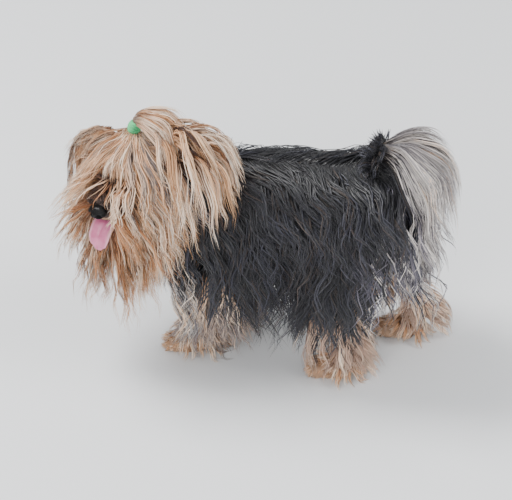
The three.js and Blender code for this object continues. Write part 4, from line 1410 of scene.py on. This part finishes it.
def nape_lie(t, turn, normals):
    return head_lie(normals, -0.45, 0.3, -0.9)


def forelock_lie(t, turn, normals):
    return head_lie(normals, 0.9, 0.25, 0.25)


def beard_lie(t, turn, normals):
    return head_lie(normals, mix(-0.1, 0.12, smooth(t)), 0.3, -1)


def bridge_lie(t, turn, normals):
    return head_lie(normals, -0.5, 0.7 * np.minimum(np.abs(turn) / 30, 1), 0.1)


print("cheek hair from", CHEEK_UP[0], "to", CHEEK_UP[-1], "upward")

# %% [markdown]
# ## Forehead and cheeks
# The forehead's hair is drawn up into the tie. Combing it up with a lie would leave loose ends, so `aim`
# draws each of its locks along a curve to the tie itself. The cheeks' hair starts at different heights
# over the skin, and so hangs in layers.

# %% Forehead and cheeks
SILKY = dict(wave=(1.9, 40), width=1.25, rings=8, curl=1.8, flow=-0.3)
gathered = [
    clear(comb("skull", "skull", t=(0.2, 1.12), turn=(-64, 64), guides=120, per=10, length=(60, 80),
               lie=forelock_lie, height=(0.6, 4), wave=(0.7, 40), width=1.3, rings=7, spread=7, stray=1.0,
               gather=0.9, aim=TIE - TIE_LEAN * 2.5)),
]
coat_piece("coat_forehead", gathered, ["head", "topknot"])
for name, side in SIDES.items():
    share = 1 if side > 0 else 0.9
    cheeks = [
        clear(comb("skull", "skull", t=(-0.2, 1.1), turn=(side * 52, side * 160), guides=int(130 * share),
                   per=12, length=(76, 100), lie=cheek_lie, droop=0.016, height=(1, 13), spread=8,
                   **SILKY)),
        clear(comb("muzzle", "muzzle", t=(-0.2, 0.5), turn=(side * 58, side * 140),
                   guides=int(50 * share), per=11, length=(78, 108), lie=muzzle_lie, droop=0.013,
                   height=(0.6, 7), spread=6, **SILKY)),
        clear(comb("muzzle", "muzzle", t=(0.4, 1.3), turn=(side * 62, side * 150), guides=int(46 * share),
                   per=10, length=(40, 66), lie=muzzle_lie, droop=0.014, height=(0.6, 5), spread=4,
                   wave=(1.2, 26), width=1.2, rings=7)),
    ]
    coat_piece(f"coat_cheek_{name}", cheeks, ["head"])

# %% [markdown]
# ## Beard, nape and bridge of the nose
# The beard is the longest hair of the head and grows from the whole jaw, with more under the chin. Behind,
# the nape's hair meets the mane. The bridge of the nose has short dark fur, and a few long strands of the
# forelock fall past it on each side.

# %% Beard and nape
beard = [
    clear(comb("jaw", "jaw", t=(-0.6, 1.7), turn=turns, guides=90, per=12, length=(84, 124),
               lie=beard_lie, height=(0.4, 9), spread=7, **SILKY))
    for turns in ((-180, -60), (60, 180))
] + [
    clear(comb("skull", "skull", t=(-0.9, 0.2), turn=(-120, 120), guides=80, per=10, length=(46, 66),
               lie=nape_lie, height=(0.6, 6), spread=8, **SILKY)),
    clear(comb("jaw", "jaw", t=(0.3, 1.9), turn=(60, 300), guides=94, per=12, length=(72, 112),
               lie=beard_lie, height=(0.4, 9), spread=8, **SILKY)),
]
coat_piece("coat_beard", beard, ["head"])

# %% Bridge of the nose
FUR = dict(height=(0.4, 2), wave=(0.4, 14), width=0.8, rings=4, spread=3, stray=0.8, flow=-1)
FORELOCK = dict(wave=(1.5, 34), rings=8)
bridge = [
    comb("skull", "bridge", t=(1.0, 1.8), turn=(-60, 60), guides=70, per=9, length=(8, 14),
         lie=bridge_lie, **FUR),
    comb("muzzle", "bridge", t=(0.1, 1.2), turn=(-96, 96), guides=160, per=8, length=(8, 15),
         lie=bridge_lie, **FUR),
]
for turns in ((14, 60), (-60, -14)):
    sides = comb("skull", "skull", t=(0.85, 1.35), turn=turns, guides=20, per=9, length=(50, 70),
                 lie=forelock_lie, droop=0.022, height=(0.6, 5), width=1.2, spread=5, stray=2, **FORELOCK)
    bridge.append(clear(sides, BRIDGE_ZONES))
bridge.append(
    clear(comb("skull", "skull", t=(0.9, 1.2), turn=(-24, 24), guides=7, per=3, length=(40, 54),
               lie=forelock_lie, droop=0.024, height=(2, 6), width=1.0, spread=3, stray=3, **FORELOCK))
)
coat_piece("coat_bridge", bridge, ["head"])

# %% [markdown]
# ## Hair that falls from the tie
# Round the tie, hair slips out and falls like a curtain over both cheeks, with shorter strands in front. It
# grows from the gathered cone under the tie, is thrown outward first, and then hangs.


# %% Falls
def fall_lie(t, turn, normals):
    apart = np.sign(turn)[:, None] * smooth((np.abs(turn) - 8) / 40)[:, None]
    return strewn(normals * 0.75 - TOP * 0.55 + FORWARD * 0.15 + LEFT * 0.35 * apart, 0.08)


LONG_FALL = dict(
    droop=0.02, height=(1, 9), wave=(1.8, 42), width=1.3, rings=9, spread=4, curl=1.8, flow=-0.5,
)
falls = [
    comb("gather", "skull", t=(0.35, 0.9), turn=(-24, 24), guides=20, per=10, length=(40, 58),
         lie=fall_lie, droop=0.02, height=(1, 5), wave=(1.5, 40), width=1.2, rings=8, spread=3, curl=1.5,
         flow=-0.5),
    comb("gather", "skull", t=(0.2, 0.9), turn=(20, 130), guides=46, per=11, length=(88, 116),
         lie=fall_lie, **LONG_FALL),
    comb("gather", "skull", t=(0.2, 0.9), turn=(-130, -20), guides=42, per=11, length=(84, 112),
         lie=fall_lie, **LONG_FALL),
]
falls = [clear(batch, BRIDGE_ZONES) for batch in falls]
coat_piece("coat_falls", falls, ["head", "topknot"])

# %% [markdown]
# ## Topknot and ears
# Above the tie the gathered hair opens as a brush, arches over and falls to the dog's left. It grows from a
# small cone of its own, which is no part of the skin. Each ear's leaf gets long hair on its back and short
# hair in its cup; in the near ear that hair is dark sable, painted shade of the ear's opening. The near ear
# stands up, so its hair rises before it falls.

# %% Topknot
add_form("puff", [
    (TIE + TIE_LEAN * 6, 3, 3),
    (TIE + TIE_LEAN * 10, 4.5, 4.5),
    (TIE + TIE_LEAN * 14 + LEFT * 2, 5.5, 5.5),
], hint=FORWARD)


def puff_lie(t, turn, normals):
    return strewn(TIE_LEAN * 0.72 + normals * 0.26 + LEFT * 0.55, 0.06)


puff = [
    comb("puff", "topknot", t=(-0.2, 1.8), turn=(-180, 180), guides=90, per=10, length=(50, 68),
         lie=puff_lie, droop=0.048, height=(0, 2), wave=(1.2, 38), gather=0.45, width=1.3, rings=9,
         spread=2.5, stray=1.2, curl=1.0, flow=-1),
]
coat_piece("coat_topknot", puff, ["topknot"])

# %% Ears
for name, side in SIDES.items():
    root, length, face, _ = ear_frame(side)
    add_form(f"ear_{name}", [
        (root + length, 12.5, 3.0),
        (root + length * 16, 10.5, 2.4),
        (root + length * 32, 4.5, 1.6),
    ], hint=face)

    if side > 0:
        far, lift, reach, tip, locks = 1, 1.25, 0.32, 1.0, 78
        # The near ear's lining takes the dark cup palette, painted shade of its opening; the far ear's keeps
        # the ear's colours
        lining, lining_length = "cup", (14, 30)
    else:
        far, lift, reach, tip, locks = 0.82, 0.0, 0.62, 1.7, 62
        lining, lining_length = "ear", (24, 46)

    def ear_lie(t, turn, normals):
        return strewn(length * reach + TOP * lift + normals * 0.2, 0.06)

    def cup_lie(t, turn, normals):
        return strewn(length * 0.7 + DOWN * 0.5 + normals * 0.3, 0.1)

    leaves = [
        comb(f"ear_{name}", "ear", t=(-0.2, tip), turn=(62, 298), guides=locks, per=11,
             length=(92 * far, 128 * far), lie=ear_lie, droop=0.052, height=(0, 3), wave=(1.4, 40),
             gather=0.5, width=1.4, rings=9, spread=4, stray=1.5, curl=1.4, flow=-1),
        comb(f"ear_{name}", lining, t=(-0.6, 1.5), turn=(-80, 80), guides=60, per=9, length=lining_length,
             lie=cup_lie, height=(0.3, 1.5), wave=(0.6, 20), width=1.1, rings=7, spread=3, stray=0.8),
    ]
    coat_piece(f"coat_ear_{name}", leaves, [f"ear_{name}"])
print(sum(len(piece.data.polygons) for piece in coat), "faces of coat")

# %% [markdown]
# ## Finishes
# Hair is never one colour: each shaft has paler and darker stretches, it is darker near the root, and it
# shines along its length. One shader group gives those streaks to every coat. A second group gives fine
# grain as height, for leather, skin, thread and horn.

# %% Shared shader groups
MATH = "ShaderNodeMath"


def new_group(name, inputs, outputs):
    """An empty shader group with named sockets."""
    group = bpy.data.node_groups.new(name, "ShaderNodeTree")
    for label, kind in inputs:
        group.interface.new_socket(label, in_out="INPUT", socket_type=kind)
    for label, kind in outputs:
        group.interface.new_socket(label, in_out="OUTPUT", socket_type=kind)
    return group, group.nodes.new("NodeGroupInput"), group.nodes.new("NodeGroupOutput")


def node(tree, kind, links=(), **values):
    """A node with its inputs: a socket is linked, anything else is set."""
    made = tree.nodes.new(kind)
    for key, value in values.items():
        setattr(made, key, value)
    for key, value in links:
        if isinstance(value, bpy.types.NodeSocket):
            tree.links.new(value, made.inputs[key])
        else:
            made.inputs[key].default_value = value
    return made


def streak_group():
    """Colour, roughness and height of a hair from its tone and its place on the strand."""
    group, entry, leave = new_group(
        "hair streaks",
        [("Tone", "NodeSocketColor"), ("Strand", "NodeSocketVector"), ("Gloss", "NodeSocketFloat")],
        [("Color", "NodeSocketColor"), ("Roughness", "NodeSocketFloat"), ("Height", "NodeSocketFloat")],
    )
    parts = node(group, "ShaderNodeSeparateXYZ", [(0, entry.outputs["Strand"])])
    seed = node(group, MATH, [(0, parts.outputs["Z"]), (1, 61.0)], operation="MULTIPLY")
    across = node(group, MATH, [(0, parts.outputs["X"]), (1, 3.0)], operation="MULTIPLY")
    place = node(group, "ShaderNodeCombineXYZ", [
        (0, across.outputs[0]), (1, parts.outputs["Y"]), (2, seed.outputs[0]),
    ])
    noise = node(group, "ShaderNodeTexNoise", [
        ("Vector", place.outputs[0]), ("Scale", 2.2), ("Detail", 3.0),
    ])
    bright = node(group, "ShaderNodeMapRange", [
        (0, noise.outputs["Fac"]), (1, 0.3), (2, 0.7), (3, 0.74), (4, 1.22),
    ])
    root = node(group, "ShaderNodeMapRange", [
        (0, parts.outputs["Y"]), (1, 0.0), (2, 0.3), (3, 0.55), (4, 1.0),
    ])
    both = node(group, MATH, [(0, bright.outputs[0]), (1, root.outputs[0])], operation="MULTIPLY")
    colour = node(group, "ShaderNodeVectorMath", [(0, entry.outputs["Tone"])], operation="SCALE")
    group.links.new(both.outputs[0], colour.inputs["Scale"])
    rough = node(group, "ShaderNodeMapRange", [
        (0, noise.outputs["Fac"]), (1, 0.3), (2, 0.7), (3, 0.08), (4, -0.08),
    ])
    total = node(group, MATH, [(0, rough.outputs[0]), (1, entry.outputs["Gloss"])], operation="ADD")
    group.links.new(colour.outputs[0], leave.inputs["Color"])
    group.links.new(total.outputs[0], leave.inputs["Roughness"])
    group.links.new(noise.outputs["Fac"], leave.inputs["Height"])
    return group


def grain_group():
    """Pebbles and fine grain as a height, and a soft mottling."""
    group, entry, leave = new_group(
        "fine grain",
        [("Vector", "NodeSocketVector"), ("Pebbles", "NodeSocketFloat"), ("Grain", "NodeSocketFloat")],
        [("Height", "NodeSocketFloat"), ("Mottle", "NodeSocketFloat")],
    )
    cells = node(group, "ShaderNodeTexVoronoi", [
        ("Vector", entry.outputs["Vector"]), ("Scale", entry.outputs["Pebbles"]),
    ], feature="F1")
    fine = node(group, "ShaderNodeTexNoise", [
        ("Vector", entry.outputs["Vector"]), ("Scale", entry.outputs["Grain"]), ("Detail", 4.0),
    ])
    mottle = node(group, "ShaderNodeTexNoise", [("Vector", entry.outputs["Vector"]), ("Scale", 140.0)])
    height = node(group, MATH, [
        (0, fine.outputs["Fac"]), (1, cells.outputs["Distance"]),
    ], operation="SUBTRACT")
    group.links.new(height.outputs[0], leave.inputs["Height"])
    group.links.new(mottle.outputs["Fac"], leave.inputs["Mottle"])
    return group


STREAKS = streak_group()
GRAIN = grain_group()


def finish(name, roughness, **constants):
    """A material with its Principled shader, whose constants are set on the shader's own sockets."""
    material = bpy.data.materials.new(name)
    material.use_nodes = True
    tree = material.node_tree
    shader = tree.nodes["Principled BSDF"]
    shader.inputs["Roughness"].default_value = roughness
    for label, value in constants.items():
        shader.inputs[label.replace("_", " ")].default_value = value
    return material, tree, shader


def bump(tree, shader, height, strength, distance):
    """Bump from a height onto the shader's normal."""
    made = node(tree, "ShaderNodeBump", [
        ("Height", height), ("Strength", strength), ("Distance", distance),
    ])
    tree.links.new(made.outputs["Normal"], shader.inputs["Normal"])


def grain(tree, pebbles, fine):
    """The grain group on the piece's own coordinates."""
    place = tree.nodes.new("ShaderNodeTexCoord")
    made = node(tree, "ShaderNodeGroup", node_tree=GRAIN)
    tree.links.new(place.outputs["Object"], made.inputs["Vector"])
    made.inputs["Pebbles"].default_value = pebbles
    made.inputs["Grain"].default_value = fine
    return made


def shades(tree, value, stops):
    """A colour ramp from a value, with screen colours at places from 0 to 1."""
    ramp = node(tree, "ShaderNodeValToRGB", [("Fac", value)])
    elements = ramp.color_ramp.elements
    for i, (place, colour) in enumerate(stops):
        stop = elements[i] if i < 2 else elements.new(place)
        stop.position = place
        stop.color = (*linear(colour), 1)
    return ramp.outputs["Color"]


print("shader groups:", STREAKS.name, "and", GRAIN.name)

# %% Coat finish
coat_material, tree, shader = finish("silky coat", 0.38, Sheen_Weight=0.1, Sheen_Roughness=0.4)
streaks = node(tree, "ShaderNodeGroup", node_tree=STREAKS)
tone = node(tree, "ShaderNodeAttribute", attribute_name="tone")
strand = node(tree, "ShaderNodeAttribute", attribute_name="strand")
tree.links.new(tone.outputs["Color"], streaks.inputs["Tone"])
tree.links.new(strand.outputs["Vector"], streaks.inputs["Strand"])
streaks.inputs["Gloss"].default_value = 0.38
tree.links.new(streaks.outputs["Color"], shader.inputs["Base Color"])
tree.links.new(streaks.outputs["Roughness"], shader.inputs["Roughness"])
bump(tree, shader, streaks.outputs["Height"], 0.25, 0.0004)
for piece in coat:
    piece.data.materials.append(coat_material)
print("coat finish on", len(coat), "pieces")

# %% [markdown]
# ## Skin finish
# The skin shows only between locks, inside the ears and round the eyes. It takes the same markings as the
# coat, darkened as hair in shade is, and where the mouth opens it is dark red, the mouth's inside with
# painted shade of the open mouth. First each of its points finds the form that it lies on, because the
# markings are rules for one part of the body at a time.

# %% Which part each point of the skin is on
own = skin_points * 1000 - SHIFT
part_names = list(forms)
nearest = np.full(len(own), 1e9)
part_of = np.zeros(len(own), int)
for number, name in enumerate(part_names):
    if name == "puff":
        continue
    table = forms[name]["table"][None, ::4]
    away = np.linalg.norm(own[:, None] - table[..., 0:3], axis=2)
    gap = (away - np.maximum(table[..., HALF_WIDTH], table[..., HALF_HEIGHT])).min(axis=1)
    closer = gap < nearest
    nearest[closer] = gap[closer]
    part_of[closer] = number
print("skin parts", {part_names[k]: int((part_of == k).sum()) for k in np.unique(part_of)})

# %% Skin tones
SKIN_SHADE = 0.62
# Block of skin where the mouth opens, painted dark red: the mouth's inside with painted shade of the open
# mouth
MOUTH_INSIDE_AND_SHADE_ZONE = ((16, math.inf), (-13, 13), (-36, -21.5))
DARK_BRIDGE_ZONE = ((28, math.inf), (-12, 12), (-19, math.inf))
EYE_RIM = 10.5
skin_tone = np.zeros((len(own), 4))
skin_tone[:, 3] = 1
middles = np.array([
    sum(share * (linear(first) * 0.7 + linear(last) * 0.3) for share, first, last in PALETTES[name])
    for name in PALETTE_NAMES
])
for number, name in enumerate(part_names):
    mine = part_of == number
    if not mine.any():
        continue
    part = name.split("_")[0]
    if part in ("leg", "paw"):
        part = name.split("_")[1]
    part = {"front": "fore", "gather": "skull"}.get(part, part)
    weights = markings(part, own[mine])
    weights /= weights.sum(axis=1, keepdims=True)
    skin_tone[mine, :3] = weights @ middles * SKIN_SHADE
head_place = (own - SKULL) @ HEAD_AXES.T
# Dark red where the mouth opens: the mouth's inside, darkened as painted shade of the open mouth
skin_tone[within(head_place, MOUTH_INSIDE_AND_SHADE_ZONE), :3] = linear((46, 22, 24))
skin_tone[within(head_place, DARK_BRIDGE_ZONE), :3] = linear((54, 36, 29))
for place in EYE_PLACE.values():
    skin_tone[np.linalg.norm(own - place, axis=1) < EYE_RIM, :3] = linear((52, 34, 30))
tones = skin.data.attributes.new("tone", "FLOAT_COLOR", "POINT")
tones.data.foreach_set("color", skin_tone.astype(np.float32).ravel())
print("skin toned at", len(own), "points")

# %% Skin finish
skin_material, tree, shader = finish("skin and undercoat", 0.62)
tone = node(tree, "ShaderNodeAttribute", attribute_name="tone")
fuzz = grain(tree, 900.0, 1500.0)
amount = node(tree, "ShaderNodeMapRange", [
    (0, fuzz.outputs["Mottle"]), (1, 0.3), (2, 0.7), (3, 0.75), (4, 1.2),
])
colour = node(tree, "ShaderNodeVectorMath", [(0, tone.outputs["Color"])], operation="SCALE")
tree.links.new(amount.outputs[0], colour.inputs["Scale"])
tree.links.new(colour.outputs[0], shader.inputs["Base Color"])
bump(tree, shader, fuzz.outputs["Height"], 0.5, 0.0006)
skin.data.materials.clear()
skin.data.materials.append(skin_material)
print("skin finish ready")

# %% [markdown]
# ## Finish of eyes and lids
# The eye is dark brown with a black pupil under a wet clear coat. Pupil, iris and white are rings round the
# way the eye looks, so a ramp over that angle draws them sharply from any side, with no picture.

# %% Eyes and lids
eye_material, tree, shader = finish("wet eye", 0.06, Coat_Weight=1.0, Coat_Roughness=0.02)
look = node(tree, "ShaderNodeAttribute", attribute_name="look")
degrees = node(tree, MATH, [(0, look.outputs["Fac"]), (1, 90.0)], operation="DIVIDE")
iris = shades(tree, degrees.outputs[0], [
    (0.0, (6, 4, 4)), (0.24, (6, 4, 4)), (0.29, (62, 34, 20)), (0.5, (40, 22, 14)), (0.56, (20, 12, 10)),
    (0.66, (150, 128, 116)),
])
tree.links.new(iris, shader.inputs["Base Color"])
for name in SIDES:
    bpy.data.objects[f"eyeball_{name}"].data.materials.append(eye_material)

lid_material, tree, shader = finish("lid rim", 0.38)
pores = grain(tree, 1400.0, 2200.0)
tree.links.new(shades(tree, pores.outputs["Mottle"], [(0.3, (20, 14, 14)), (0.7, (46, 32, 30))]),
               shader.inputs["Base Color"])
bump(tree, shader, pores.outputs["Height"], 0.4, 0.0003)
eyelids.data.materials.append(lid_material)
print("eyes and lids finished")

# %% [markdown]
# ## Finish of nose and tongue
# The nose is black leather, a little moist, with fine pebbles that catch the light. The tongue is rose pink
# and paler at its rim, wet, and rough with fine papillae.

# %% Nose and tongue
leather, tree, shader = finish(
    "nose leather", 0.5, Coat_Weight=0.15, Coat_Roughness=0.16, Specular_IOR_Level=0.15,
)
pebbles = grain(tree, 1500.0, 2600.0)
tree.links.new(shades(tree, pebbles.outputs["Mottle"], [(0.3, (4, 4, 4)), (0.7, (13, 11, 12))]),
               shader.inputs["Base Color"])
bump(tree, shader, pebbles.outputs["Height"], 0.7, 0.0004)
nose_piece.data.materials.append(leather)

tongue_material, tree, shader = finish("tongue", 0.3, Coat_Weight=0.4, Coat_Roughness=0.18)
papillae = grain(tree, 1900.0, 1300.0)
rim = node(tree, "ShaderNodeAttribute", attribute_name="rim")
flesh = shades(tree, papillae.outputs["Mottle"], [(0.3, (196, 96, 134)), (0.7, (222, 128, 164))])
pale = node(tree, "ShaderNodeMix", [("Factor", rim.outputs["Fac"])], data_type="RGBA")
tree.links.new(flesh, pale.inputs[6])
pale.inputs[7].default_value = (*linear((236, 176, 190)), 1)
tree.links.new(pale.outputs[2], shader.inputs["Base Color"])
bump(tree, shader, papillae.outputs["Height"], 0.45, 0.0004)
tongue.data.materials.append(tongue_material)
print("nose and tongue finished")

# %% [markdown]
# ## Finish of claws and hair tie
# The claws keep the solids' own shape and get dark horn. The elastic is a green thread, with a fine grain
# for its twist and a little sheen.

# %% Claws and hair tie
horn, tree, shader = finish("claw horn", 0.32, Coat_Weight=0.2)
growth = grain(tree, 260.0, 1200.0)
tree.links.new(shades(tree, growth.outputs["Mottle"], [(0.25, (26, 20, 20)), (0.75, (66, 52, 48))]),
               shader.inputs["Base Color"])
bump(tree, shader, growth.outputs["Height"], 0.25, 0.0003)
for leg in LEG_PLANS:
    for toe in range(1, 5):
        claw = bpy.data.objects[f"claw_{leg}_{toe}"]
        claw.data.materials.clear()
        claw.data.materials.append(horn)

elastic, tree, shader = finish("green elastic", 0.55, Sheen_Weight=0.3)
threads = grain(tree, 2600.0, 1800.0)
tree.links.new(shades(tree, threads.outputs["Mottle"], [(0.3, (34, 150, 88)), (0.7, (72, 206, 128))]),
               shader.inputs["Base Color"])
bump(tree, shader, threads.outputs["Height"], 0.6, 0.0004)
tie.data.materials.append(elastic)
print("claws and hair tie finished")

# %% [markdown]
# ## Floor, light and the end
# The dog stands on a plain pale floor. A soft key lamp stands high in front of it, a wider one fills from
# the camera's side, and a third behind gives the coat an edge of light. A pale sky lifts the shadows.

# %% Floor
FLOOR_HALF = 4
bm = bmesh.new()
bmesh.ops.create_grid(bm, x_segments=1, y_segments=1, size=FLOOR_HALF)
floor = new_piece("floor", bm)
floor_material, tree, shader = finish("pale floor", 0.7)
shader.inputs["Base Color"].default_value = (0.78, 0.79, 0.8, 1)
floor.data.materials.append(floor_material)
print("floor", 2 * FLOOR_HALF, "m wide")

# %% Lamps and sky
# Name, place in metres, power in watts and width in metres
LAMPS = [
    ("key", (-0.3, -1.2, 2.2), 80, 1.0),
    ("fill", (1.9, -0.2, 1.3), 38, 1.5),
    ("rim", (0.2, 1.9, 1.4), 34, 1.0),
]
LIT_PLACE = Vector((0, 0, 0.12))
for name, place, power, wide in LAMPS:
    lamp = bpy.data.lights.new(name, "AREA")
    lamp.energy = power
    lamp.size = wide
    holder = bpy.data.objects.new(name, lamp)
    bpy.context.scene.collection.objects.link(holder)
    holder.location = place
    holder.rotation_euler = (LIT_PLACE - Vector(place)).to_track_quat("-Z", "Y").to_euler()
sky = bpy.data.worlds.new("sky")
bpy.context.scene.world = sky
sky.use_nodes = True
backdrop = sky.node_tree.nodes["Background"]
backdrop.inputs["Color"].default_value = (0.93, 0.96, 1, 1)
backdrop.inputs["Strength"].default_value = 0.55
print(len(LAMPS), "lamps and a sky")
